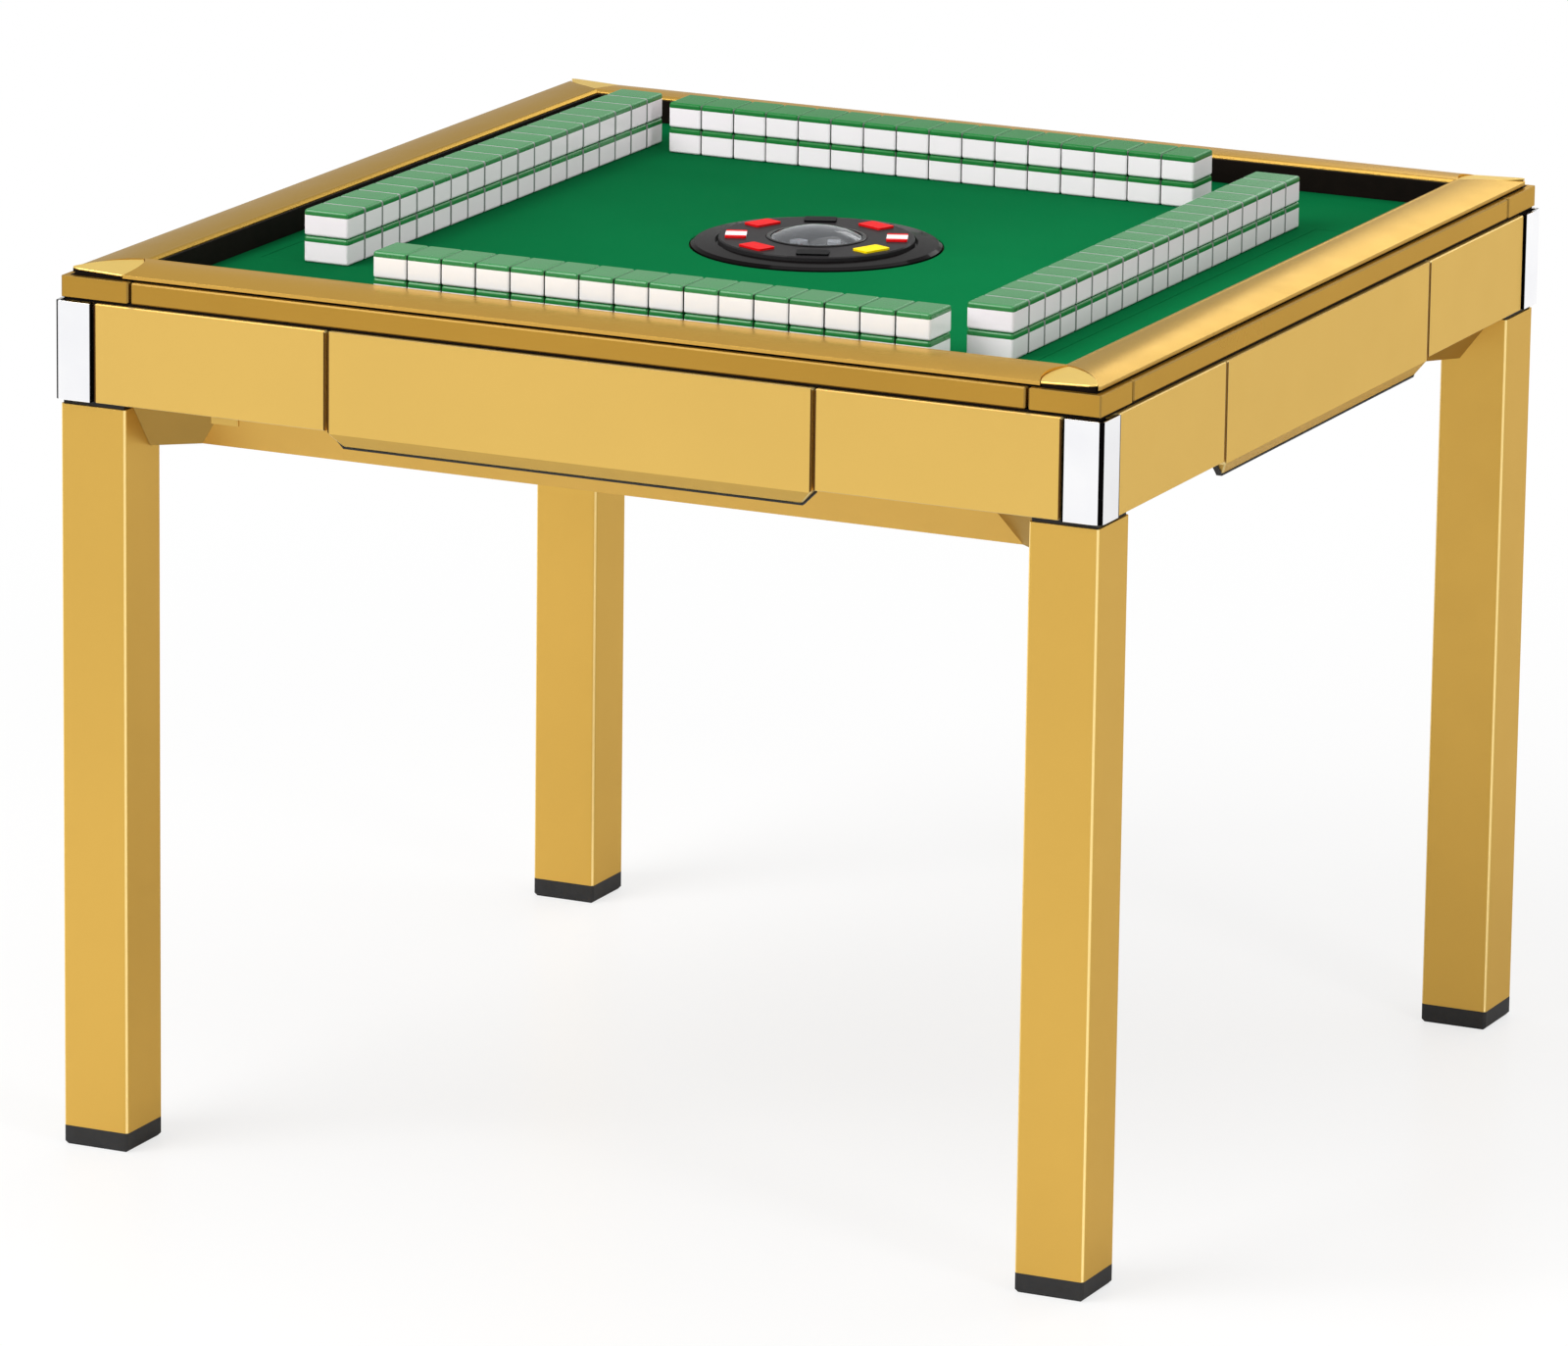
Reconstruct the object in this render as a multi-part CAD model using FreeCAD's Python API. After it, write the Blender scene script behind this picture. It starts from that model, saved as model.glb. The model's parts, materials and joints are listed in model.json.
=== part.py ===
"""Automatic mahjong table with four chip drawers, built as separate pieces.

Millimetres. The origin is on the floor at the middle of the table, +Z is up and
the front side faces -Y. Each side is modelled once as the front side and turned
about Z: front 0, right 90, back 180 and left 270 degrees.
"""
import FreeCAD, Part
import math
import os

V = FreeCAD.Vector

# ---------------------------------------------------------------- driving sizes
TABLE_WIDTH = 900.0         # over the chrome corner posts
POST_FACE = TABLE_WIDTH / 2

# legs and feet
LEG_WIDTH = 58.0
LEG_WALL = 2.0
LEG_CORNER_RADIUS = 3.0
LEG_INSET = 3.5             # leg face behind the chrome post face
FOOT_HEIGHT = 16.0
FOOT_PLUG_HEIGHT = 20.0
FOOT_PLUG_GAP = 0.2
FOOT_EDGE = 2.5
LEG_HEIGHT = 593.0          # from the rubber foot to the bracket
LEG_HEAD = 24.0             # solid block welded in the top of the tube

# corner brackets, bolts and posts
BRACKET_PLATE = 4.0
BRACKET_PLATE_INSET = 2.0
POST_HEIGHT = 79.5
POST_FLANGE = 33.0
POST_THICKNESS = 3.0
POST_RADIUS = 5.0
BOLT_RADIUS = 4.0
BOLT_GAP = 0.05
BOLT_HEAD_RADIUS = 6.5
BOLT_HEAD_HEIGHT = 5.0
BOLT_DEPTH = 20.0
BOLT_FROM_MIDDLE = 12.0

# apron panels and drawer faces
APRON_THICKNESS = 12.0
APRON_INSET = 1.5           # panel face behind the chrome post face
APRON_LIP = 12.0            # lip of a panel over the tub's flange
APRON_LIP_THICKNESS = 3.0
SEAM = 2.0                  # open seam between panels, faces and posts
DRAWER_WIDTH = 416.0
DRAWER_DROP = 13.0          # how far the face hangs below the panels
DRAWER_CORNER = 11.0        # slanted lower corners of the face
DRAWER_BEVEL = 7.0          # depth of the finger bevel along the lower edge

# drawer trays and runners
TRAY_WIDTH = 368.0
TRAY_DEPTH = 130.0
TRAY_HEIGHT = 30.0
TRAY_WALL = 2.5
TRAY_LIFT = 3.0             # tray bottom above the tub flange, on its runners
RUNNER_WIDTH = 12.0
RUNNER_SIDE = 2.0
RUNNER_HEIGHT = 22.0
RUNNER_GAP = 0.2
RUNNER_SHORT = 3.0          # runner ends this far inside the tray's ends

# base tub
TUB_DEPTH = 40.0            # below the aprons
TUB_TOP_INSET = 55.0        # behind the chrome post face
TUB_BOTTOM_INSET = 70.0
TUB_CORNER_TOP = 78.0       # cut across the tub's corners
TUB_CORNER_BOTTOM = 85.0
TUB_FLARE_TOP = 62.0        # length of the flared end of a wall, beside a leg
TUB_FLARE_BOTTOM = 33.0
TUB_FLARE_DEPTH = 26.0      # how far the flare stands out at the bottom
TUB_LEG_GAP = 0.2
TUB_WALL = 3.0
TUB_FLANGE_GAP = 0.1        # between the flange and the drawer faces
TUB_FLANGE_CORNER = 106.0

# steel frame
FRAME_TUBE_WIDTH = 20.0
FRAME_TUBE_HEIGHT = 30.0
FRAME_TUBE_WALL = 1.5
CROSS_RAIL_INSET = 150.0    # behind the chrome post face

# table top
BOARD_THICKNESS = 12.0
FELT_THICKNESS = 2.0
BOARD_INSET = 22.0          # board edge behind the chrome post face
BOARD_ABOVE_TRIM = 1.5      # board top above the trim band's lower edge
TRIM_INSET = 4.0            # trim band behind the chrome post face
TRIM_BOTTOM_GAP = 2.5       # shadow line between apron and trim band
TRIM_HEIGHT = 17.0
TRIM_CORNER_LENGTH = 60.0
TRIM_SEAM = 2.5

# top rails
RAIL_INNER_INSET = 58.0
RAIL_OUTER_INSET = 9.0
RAIL_SHADOW = 1.7           # open line between trim band and rail
RAIL_FOOT_INSET = 18.0
RAIL_LIP = 2.8
RAIL_CROWN = 7.3            # crown above the rail's underside
RAIL_MIDDLE_DROP = 0.9      # half way out, below the crown
RAIL_INNER_DROP = 2.0       # inner edge below the crown
RAIL_INNER_ROUND = 6.0      # width of the rounded inner edge
RAIL_CORNER_RADIUS = 8.0
CAP_LENGTH = 47.0           # along the front or back rail, from the corner
CAP_POINT = 6.0             # the cap's point lies this far outside the inner corner
CAP_BULGE = 6.0             # bow of the seams beside a corner cap
CAP_SEAM = 0.4
CAP_PLATE = 1.5             # thickness where the cap overhangs the trim
CAP_POINT_DROP = 0.4        # the cap's point below the rails' crown
CAP_SEAM_DROP = 4.4         # its outer end beside the seam
CAP_CORNER_DROP = 2.6       # its corner

# tiles and their lifts
TILE_LENGTH = 40.0
TILE_PITCH = 30.0
TILE_GAP = 0.4              # between neighbours in a row
TILE_THICKNESS = 21.5
TILE_LAYERS = 2
TILE_REST_GAP = 0.1
LONG_WALL_MARGIN = 130.0    # length of a lift line that the left and right walls leave free
SHORT_WALL_MARGIN = 220.0   # the same at the front and back
WALL_SHIFT = 30.0           # walls sit off the middle of their side
LIFT_INSET = 100.0          # middle of the lifts behind the chrome post face
PUSHED_IN = {"front": 0.0, "right": 55.0, "back": 50.0, "left": 38.0}
LIFT_THICKNESS = 3.7
LIFT_BELOW_FELT = 0.3
LIFT_SLOT_GAP = 0.5
LIFT_TRAVEL = 45.0
STEM_WIDTH = 12.0
STEM_FROM_END = 12.0
STEM_LENGTH = 69.0
STEM_GAP = 0.08
GUIDE_WALL = 3.0
GUIDE_HEIGHT = 51.5

# machine deck
DECK_ABOVE_TUB = 13.0
DECK_THICKNESS = 2.5
DECK_INSET = 78.0           # behind the chrome post face
DECK_CORNER = 66.0
UPRIGHT_WIDTH = 20.0
UPRIGHT_INSET = 200.0       # behind the chrome post face

# shuffling disc and its drive
DISC_RADIUS = 200.0
DISC_THICKNESS = 6.0
DISC_CONE_RADIUS = 62.0
DISC_CONE_TIP_RADIUS = 32.0
DISC_CONE_HEIGHT = 36.0
DISC_BORE_GAP = 0.4
BEARING_RADIUS = 58.0
BEARING_HEIGHT = 15.5
WHEEL_RADIUS = 20.0
WHEEL_THICKNESS = 8.0
WHEEL_RIM_GAP = 0.3
WHEEL_SHAFT_RADIUS = 4.0
SHAFT_GAP = 0.05
MOTOR_RADIUS = 27.0
MOTOR_HEIGHT = 40.0
MOTOR_ABOVE_WHEEL = 5.0
MOTOR_PLATE = 3.0
MOTOR_LEG = 6.0

# console
CONSOLE_RADIUS = 101.5
CONSOLE_HOLE_GAP = 1.5
CONSOLE_EDGE_RISE = 1.0
CONSOLE_RING_RISE = 4.0
CONSOLE_DISC_RADIUS = 79.5
CONSOLE_GROOVE = 2.5
CONSOLE_GROOVE_RISE = 1.5
CONSOLE_TOP_RISE = 7.2
CONSOLE_SHELL = 3.0
CONSOLE_DEPTH = 23.0
CONSOLE_DECK_DEPTH = 3.0    # underside of the thick part below the felt
COLUMN_FLANGE = 3.0
COLUMN_RADIUS = 20.0
COLUMN_GAP = 0.05
COLUMN_CLEARANCE = 3.5      # column end above the deck
COLUMN_GUIDE_WALL = 4.0
COLUMN_GUIDE_HEIGHT = 66.0
KEY_COUNT = 8
KEY_NAMES = ("e", "ne", "n", "nw", "w", "sw", "s", "se")
KEY_FIRST_ANGLE = 22.5
KEY_RING_RADIUS = 65.0
KEY_LENGTH = 26.0
KEY_WIDTH = 17.0
KEY_CORNER = 2.0
KEY_GAP = 0.25
KEY_PROUD = 1.5
KEY_HEIGHT = 6.3
KEY_POCKET_SPARE = 0.2
KEY_TRAVEL = 1.2
DOME_RADIUS = 36.5
DOME_RISE = 9.0
DOME_WALL = 1.5
DOME_SEAT = 1.5
WELL_DEPTH = 18.0
PLATE_GAP = 0.5
PLATE_THICKNESS = 2.0
PLATE_DROP = 6.0            # dice plate below the felt
PLATE_STEM_RADIUS = 4.0
DIE_SIZE = 11.0
DIE_FROM_MIDDLE = 13.0

# electrics
BOARD_SIZE = 80.0
PCB_THICKNESS = 1.6
PCB_SIDE_INSET = 205.0      # behind the chrome post face
PCB_FRONT_INSET = 245.0
PCB_STANDOFF = 8.0
PCB_STANDOFF_RADIUS = 3.0
PCB_STANDOFF_INSET = 6.0
CHIP_LENGTH = 24.0
CHIP_WIDTH = 14.0
CHIP_HEIGHT = 4.0
INLET_LENGTH = 34.0
INLET_WIDTH = 26.0
INLET_HEIGHT = 16.5
INLET_FLANGE = 4.0
INLET_FLANGE_THICKNESS = 1.5
INLET_WALL = 3.0
INLET_INSET = 150.0         # behind the chrome post face

# ------------------------------------------------------------- levels and lines
LEG_FACE = POST_FACE - LEG_INSET
LEG_MIDDLE = LEG_FACE - LEG_WIDTH / 2
LEG_TOP_Z = FOOT_HEIGHT + LEG_HEIGHT
APRON_BOTTOM_Z = LEG_TOP_Z + BRACKET_PLATE
APRON_TOP_Z = APRON_BOTTOM_Z + POST_HEIGHT
APRON_FACE = POST_FACE - APRON_INSET
APRON_BACK = APRON_FACE - APRON_THICKNESS
TRIM_BOTTOM_Z = APRON_TOP_Z + TRIM_BOTTOM_GAP
TRIM_TOP_Z = TRIM_BOTTOM_Z + TRIM_HEIGHT
TRIM_FACE = POST_FACE - TRIM_INSET
RAIL_CROWN_Z = TRIM_TOP_Z + RAIL_SHADOW + RAIL_CROWN
BOARD_HALF = POST_FACE - BOARD_INSET
BOARD_TOP_Z = TRIM_BOTTOM_Z + BOARD_ABOVE_TRIM
BOARD_BOTTOM_Z = BOARD_TOP_Z - BOARD_THICKNESS
FELT_TOP_Z = BOARD_TOP_Z + FELT_THICKNESS
FRAME_BOTTOM_Z = BOARD_BOTTOM_Z - FRAME_TUBE_HEIGHT
TUB_BOTTOM_Z = APRON_BOTTOM_Z - TUB_DEPTH
DECK_BOTTOM_Z = TUB_BOTTOM_Z + DECK_ABOVE_TUB
DECK_TOP_Z = DECK_BOTTOM_Z + DECK_THICKNESS
TRAY_BOTTOM_Z = APRON_BOTTOM_Z + TRAY_LIFT
DISC_BOTTOM_Z = DECK_TOP_Z + BEARING_HEIGHT
CONSOLE_BOTTOM_Z = FELT_TOP_Z - CONSOLE_DEPTH
COLUMN_GUIDE_RADIUS = COLUMN_RADIUS + COLUMN_GAP + COLUMN_GUIDE_WALL
WHEEL_FROM_MIDDLE = DISC_RADIUS + WHEEL_RADIUS + WHEEL_RIM_GAP

TUB_HALF_TOP = POST_FACE - TUB_TOP_INSET
TUB_HALF_BOTTOM = POST_FACE - TUB_BOTTOM_INSET
DECK_HALF = POST_FACE - DECK_INSET
CROSS_RAIL_X = POST_FACE - CROSS_RAIL_INSET
UPRIGHT_Y = POST_FACE - UPRIGHT_INSET
LIFT_FROM_MIDDLE = POST_FACE - LIFT_INSET
PCB_X = PCB_SIDE_INSET - POST_FACE
PCB_Y = PCB_FRONT_INSET - POST_FACE
INLET_Y = POST_FACE - INLET_INSET

SIDES = {"front": 0, "right": 90, "back": 180, "left": 270}
CORNERS = {"front_left": 270, "front_right": 0, "back_right": 90, "back_left": 180}


# --------------------------------------------------------------------- helpers
def block(x0, x1, y0, y1, z0, z1):
    return Part.makeBox(x1 - x0, y1 - y0, z1 - z0, V(x0, y0, z0))


def turned(shape, degrees):
    copy = shape.copy()
    copy.rotate(V(0, 0, 0), V(0, 0, 1), degrees)
    return copy


def moved(shape, x, y, z=0.0):
    copy = shape.copy()
    copy.translate(V(x, y, z))
    return copy


def prism(points, z0, z1):
    wire = Part.makePolygon([V(x, y, z0) for x, y in points + points[:1]])
    return Part.Face(wire).extrude(V(0, 0, z1 - z0))


def revolved(profile):
    """Turns (radius, z) points about the table's middle axis."""
    wire = Part.makePolygon([V(r, 0, z) for r, z in profile + profile[:1]])
    return Part.Face(wire).revolve(V(0, 0, 0), V(0, 0, 1), 360)


def tube(outer, inner, z0, z1):
    ring = Part.makeCylinder(outer, z1 - z0, V(0, 0, z0))
    return ring.cut(Part.makeCylinder(inner, z1 - z0, V(0, 0, z0)))


def round_edges_along_z(shape, radius, keep=lambda x, y: True):
    """Rounds the straight vertical edges that keep() accepts."""
    edges = []
    for edge in shape.Edges:
        a = edge.Vertexes[0].Point
        b = edge.Vertexes[-1].Point
        vertical = abs(a.x - b.x) < 1e-6 and abs(a.y - b.y) < 1e-6 and abs(a.z - b.z) > 1e-6
        if vertical and keep(a.x, a.y):
            edges.append(edge)
    return shape.makeFillet(radius, edges)


def octagon(half, corner, z):
    points = []
    for sx, sy, first in ((1, -1, 0), (1, 1, 1), (-1, 1, 0), (-1, -1, 1)):
        pair = [(sx * (half - corner), sy * half), (sx * half, sy * (half - corner))]
        points += pair if first == 0 else pair[::-1]
    return Part.makePolygon([V(x, y, z) for x, y in points + points[:1]])


def notched_outline(half, reach, notch, flare, z):
    """Square outline that flares out beside each leg and is notched round it."""
    corner = [(notch - flare, -half), (notch, -reach), (notch, -notch), (reach, -notch), (half, flare - notch)]
    points = []
    for angle in (0, 90, 180, 270):
        turn = FreeCAD.Rotation(V(0, 0, 1), angle)
        points += [turn.multVec(V(x, y, z)) for x, y in corner]
    return Part.makePolygon(points + points[:1])


def save(name, shapes):
    solids = [solid for shape in shapes for solid in shape.Solids]
    Part.makeCompound(solids).exportStep("parts/" + name + ".step")


# ------------------------------------------------------------- legs and corners
def bolt_places():
    offset = BOLT_FROM_MIDDLE
    return ((LEG_MIDDLE - offset, -LEG_MIDDLE - offset), (LEG_MIDDLE + offset, -LEG_MIDDLE + offset))


def leg():
    """Square tube leg at the front right, with a solid head for its bolts."""
    x0 = LEG_FACE - LEG_WIDTH
    body = block(x0, LEG_FACE, -LEG_FACE, -x0, FOOT_HEIGHT, LEG_TOP_Z)
    body = round_edges_along_z(body, LEG_CORNER_RADIUS)
    inner = block(x0 + LEG_WALL, LEG_FACE - LEG_WALL, -LEG_FACE + LEG_WALL, -x0 - LEG_WALL,
                  FOOT_HEIGHT, LEG_TOP_Z - LEG_HEAD)
    body = body.cut(inner)
    for x, y in bolt_places():
        depth = BOLT_DEPTH + BOLT_GAP
        body = body.cut(Part.makeCylinder(BOLT_RADIUS + BOLT_GAP, depth, V(x, y, LEG_TOP_Z - depth)))
    return body


def rubber_foot():
    x0 = LEG_FACE - LEG_WIDTH
    pad = block(x0, LEG_FACE, -LEG_FACE, -x0, 0, FOOT_HEIGHT)
    pad = round_edges_along_z(pad, LEG_CORNER_RADIUS)
    bottom = [e for e in pad.Edges if e.BoundBox.ZMax < 1e-6]
    pad = pad.makeChamfer(FOOT_EDGE, bottom)
    inset = LEG_WALL + FOOT_PLUG_GAP
    plug = block(x0 + inset, LEG_FACE - inset, -LEG_FACE + inset, -x0 - inset,
                 FOOT_HEIGHT, FOOT_HEIGHT + FOOT_PLUG_HEIGHT)
    return pad.fuse(plug).removeSplitter()


def leg_bracket():
    """Cast angle between the leg, the steel frame and the chrome post."""
    outer = POST_FACE - POST_THICKNESS
    plate_half = LEG_WIDTH / 2 - BRACKET_PLATE_INSET
    plate = block(LEG_MIDDLE - plate_half, LEG_MIDDLE + plate_half,
                  -LEG_MIDDLE - plate_half, -LEG_MIDDLE + plate_half, LEG_TOP_Z, APRON_BOTTOM_Z)
    start = POST_FACE - POST_FLANGE
    wall_x = block(start, outer, -outer, -APRON_BACK, APRON_BOTTOM_Z, BOARD_BOTTOM_Z)
    wall_y = block(APRON_BACK, outer, -outer, -start, APRON_BOTTOM_Z, BOARD_BOTTOM_Z)
    walls = wall_x.fuse(wall_y)
    walls = round_edges_along_z(walls, POST_RADIUS - POST_THICKNESS,
                                lambda x, y: abs(x - outer) < 0.01 and abs(y + outer) < 0.01)
    body = plate.fuse(walls).removeSplitter()
    for x, y in bolt_places():
        body = body.cut(Part.makeCylinder(BOLT_RADIUS + BOLT_GAP, BRACKET_PLATE, V(x, y, LEG_TOP_Z)))
    return body


def leg_bolt(x, y):
    shank = Part.makeCylinder(BOLT_RADIUS, BOLT_DEPTH + BRACKET_PLATE, V(x, y, LEG_TOP_Z - BOLT_DEPTH))
    head = Part.makeCylinder(BOLT_HEAD_RADIUS, BOLT_HEAD_HEIGHT, V(x, y, APRON_BOTTOM_Z))
    return shank.fuse(head).removeSplitter()


def corner_post():
    """Chrome angle over the front right corner."""
    inner = POST_FACE - POST_THICKNESS
    start = POST_FACE - POST_FLANGE
    body = block(start, POST_FACE, -POST_FACE, -start, APRON_BOTTOM_Z, APRON_TOP_Z)
    body = round_edges_along_z(body, POST_RADIUS,
                               lambda x, y: x > POST_FACE - 0.01 and y < -POST_FACE + 0.01)
    core = block(start, inner, -inner, -start, APRON_BOTTOM_Z, APRON_TOP_Z)
    core = round_edges_along_z(core, POST_RADIUS - POST_THICKNESS,
                               lambda x, y: x > inner - 0.01 and y < -inner + 0.01)
    return body.cut(core)


# ------------------------------------------------------ aprons, drawers, runners
def apron():
    """The two panels beside the front drawer, with lips that carry on the tub's flange."""
    outer = POST_FACE - POST_FLANGE - SEAM
    inner = DRAWER_WIDTH / 2 + SEAM
    panel = block(inner, outer, -APRON_FACE, -APRON_BACK, APRON_BOTTOM_Z, APRON_TOP_Z)
    lip_end = LEG_FACE - LEG_WIDTH - SEAM
    lip = block(inner, lip_end, -APRON_BACK, -APRON_BACK + APRON_LIP,
                APRON_BOTTOM_Z, APRON_BOTTOM_Z + APRON_LIP_THICKNESS)
    right = panel.fuse(lip).removeSplitter()
    return [right.mirror(V(0, 0, 0), V(1, 0, 0)), right]


def drawer_face():
    half = DRAWER_WIDTH / 2
    bottom = APRON_BOTTOM_Z - DRAWER_DROP
    corner = [(-half, APRON_TOP_Z), (-half, bottom + DRAWER_CORNER), (-half + DRAWER_CORNER, bottom),
              (half - DRAWER_CORNER, bottom), (half, bottom + DRAWER_CORNER), (half, APRON_TOP_Z)]
    wire = Part.makePolygon([V(x, -APRON_FACE, z) for x, z in corner + corner[:1]])
    face = Part.Face(wire).extrude(V(0, APRON_THICKNESS, 0))
    rise = bottom + DRAWER_DROP - SEAM
    bevel = Part.makePolygon([V(-half, -APRON_FACE, bottom), V(-half, -APRON_FACE, rise),
                              V(-half, -APRON_FACE + DRAWER_BEVEL, bottom), V(-half, -APRON_FACE, bottom)])
    return face.cut(Part.Face(bevel).extrude(V(DRAWER_WIDTH, 0, 0)))


def drawer_tray():
    half = TRAY_WIDTH / 2
    top = TRAY_BOTTOM_Z + TRAY_HEIGHT
    back = -APRON_BACK + TRAY_DEPTH
    box = block(-half, half, -APRON_BACK, back, TRAY_BOTTOM_Z, top)
    hollow = block(-half + TRAY_WALL, half - TRAY_WALL, -APRON_BACK + TRAY_WALL, back - TRAY_WALL,
                   TRAY_BOTTOM_Z + TRAY_WALL, top)
    return box.cut(hollow)


def drawer_runners():
    """Angle rails that carry the front tray along both of its sides."""
    inner = TRAY_WIDTH / 2 + RUNNER_GAP
    y0 = -APRON_BACK + RUNNER_SHORT
    y1 = -APRON_BACK + TRAY_DEPTH - RUNNER_SHORT
    foot = block(inner - RUNNER_WIDTH, inner + RUNNER_SIDE, y0, y1, APRON_BOTTOM_Z, TRAY_BOTTOM_Z)
    side = block(inner, inner + RUNNER_SIDE, y0, y1, APRON_BOTTOM_Z, APRON_BOTTOM_Z + RUNNER_HEIGHT)
    rail = foot.fuse(side).removeSplitter()
    return [rail, rail.mirror(V(0, 0, 0), V(1, 0, 0))]


# ------------------------------------------------------------- tub, frame, deck
def tub_block():
    """The tub's outside without its corners, solid."""
    return Part.makeLoft([octagon(TUB_HALF_BOTTOM, TUB_CORNER_BOTTOM, TUB_BOTTOM_Z),
                          octagon(TUB_HALF_TOP, TUB_CORNER_TOP, APRON_BOTTOM_Z)], True, True)


def tub_flange():
    edge = APRON_BACK - TUB_FLANGE_GAP
    low = APRON_BOTTOM_Z - TUB_WALL
    return Part.Face(octagon(edge, TUB_FLANGE_CORNER, low)).extrude(V(0, 0, TUB_WALL))


def base_tub():
    """Tray of the table: sloping walls, cut corners and a flange under the aprons."""
    floor = TUB_BOTTOM_Z + TUB_WALL
    share = TUB_WALL / TUB_DEPTH
    half_floor = TUB_HALF_BOTTOM + share * (TUB_HALF_TOP - TUB_HALF_BOTTOM)
    corner_floor = TUB_CORNER_BOTTOM + share * (TUB_CORNER_TOP - TUB_CORNER_BOTTOM)
    inner = Part.makeLoft([octagon(half_floor - TUB_WALL, corner_floor, floor),
                           octagon(TUB_HALF_TOP - TUB_WALL, TUB_CORNER_TOP, APRON_BOTTOM_Z)], True, True)
    return tub_block().fuse(tub_flange()).cut(inner).removeSplitter()


def tub_corners():
    """Corner pieces that carry the tub's walls on, flare out to the legs and are notched round them."""
    notch = LEG_FACE - LEG_WIDTH - TUB_LEG_GAP
    edge = APRON_BACK - TUB_FLANGE_GAP
    reach = TUB_HALF_BOTTOM + TUB_FLARE_DEPTH
    lower = notched_outline(TUB_HALF_BOTTOM, reach, notch, TUB_FLARE_BOTTOM, TUB_BOTTOM_Z)
    upper = notched_outline(TUB_HALF_TOP, edge, notch, TUB_FLARE_TOP, APRON_BOTTOM_Z)
    whole = Part.makeLoft([lower, upper], True, True)
    return whole.cut(tub_block()).cut(tub_flange()).Solids


def frame_tube(length):
    """Rectangular steel tube along X, centred, on the frame's lower level."""
    half = FRAME_TUBE_WIDTH / 2
    wall = FRAME_TUBE_WALL
    outer = block(-length / 2, length / 2, -half, half, FRAME_BOTTOM_Z, BOARD_BOTTOM_Z)
    inner = block(-length / 2, length / 2, -half + wall, half - wall,
                  FRAME_BOTTOM_Z + wall, BOARD_BOTTOM_Z - wall)
    return outer.cut(inner)


def main_frame():
    middle = APRON_BACK - FRAME_TUBE_WIDTH / 2
    inside = 2 * (APRON_BACK - FRAME_TUBE_WIDTH)
    tubes = []
    for sign in (-1, 1):
        tubes.append(moved(frame_tube(2 * APRON_BACK), 0, sign * middle))
        tubes.append(moved(turned(frame_tube(inside), 90), sign * middle, 0))
        tubes.append(moved(turned(frame_tube(inside), 90), sign * CROSS_RAIL_X, 0))
    return tubes


def wall_columns(side):
    margin = SHORT_WALL_MARGIN if side in ("front", "back") else LONG_WALL_MARGIN
    return math.floor((2 * LIFT_FROM_MIDDLE - margin) / TILE_PITCH + 1e-6)


def wall_length(side):
    return TILE_PITCH * wall_columns(side)


def wall_shift(side):
    return WALL_SHIFT if side in ("front", "back") else -WALL_SHIFT


def stem_places(side):
    reach = wall_length(side) / 2 - STEM_FROM_END
    return (wall_shift(side) - reach, wall_shift(side) + reach)


def machine_deck():
    """Steel deck with uprights to the frame, lift guides and the column guide."""
    plate = Part.Face(octagon(DECK_HALF, DECK_CORNER, DECK_BOTTOM_Z)).extrude(V(0, 0, DECK_THICKNESS))
    hole = STEM_WIDTH / 2 + STEM_GAP
    outer = hole + GUIDE_WALL
    guides = []
    for side, angle in SIDES.items():
        for x in stem_places(side):
            y = -LIFT_FROM_MIDDLE
            bore = block(x - hole, x + hole, y - hole, y + hole, DECK_BOTTOM_Z, DECK_TOP_Z + GUIDE_HEIGHT)
            guide = block(x - outer, x + outer, y - outer, y + outer, DECK_TOP_Z, DECK_TOP_Z + GUIDE_HEIGHT)
            guides.append(turned(guide.cut(bore), angle))
            plate = plate.cut(turned(bore, angle))
    uprights = []
    half = UPRIGHT_WIDTH / 2
    for x in (-CROSS_RAIL_X, CROSS_RAIL_X):
        for y in (-UPRIGHT_Y, UPRIGHT_Y):
            uprights.append(block(x - half, x + half, y - half, y + half, DECK_TOP_Z, FRAME_BOTTOM_Z))
    sleeve = tube(COLUMN_GUIDE_RADIUS, COLUMN_RADIUS + COLUMN_GAP, DECK_TOP_Z, DECK_TOP_Z + COLUMN_GUIDE_HEIGHT)
    return [plate, sleeve] + guides + uprights


# ------------------------------------------------------------ board, felt, trims
def top_openings(z0, z1):
    """The console hole and the four wall slots, as solids to cut away."""
    holes = [Part.makeCylinder(CONSOLE_RADIUS + CONSOLE_HOLE_GAP, z1 - z0, V(0, 0, z0))]
    half_y = TILE_LENGTH / 2 + LIFT_SLOT_GAP
    for side, angle in SIDES.items():
        half_x = wall_length(side) / 2 + LIFT_SLOT_GAP
        x = wall_shift(side)
        slot = block(x - half_x, x + half_x, -LIFT_FROM_MIDDLE - half_y, -LIFT_FROM_MIDDLE + half_y, z0, z1)
        holes.append(turned(slot, angle))
    return holes


def top_layer(z0, z1):
    layer = block(-BOARD_HALF, BOARD_HALF, -BOARD_HALF, BOARD_HALF, z0, z1)
    for hole in top_openings(z0, z1):
        layer = layer.cut(hole)
    return layer


def trim_band():
    reach = TRIM_FACE - TRIM_CORNER_LENGTH - TRIM_SEAM
    return block(-reach, reach, -TRIM_FACE, -BOARD_HALF, TRIM_BOTTOM_Z, TRIM_TOP_Z)


def trim_corner_block():
    start = TRIM_FACE - TRIM_CORNER_LENGTH
    outer = block(start, TRIM_FACE, -TRIM_FACE, -start, TRIM_BOTTOM_Z, TRIM_TOP_Z)
    return outer.cut(block(start, BOARD_HALF, -BOARD_HALF, -start, TRIM_BOTTOM_Z, TRIM_TOP_Z))


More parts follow.
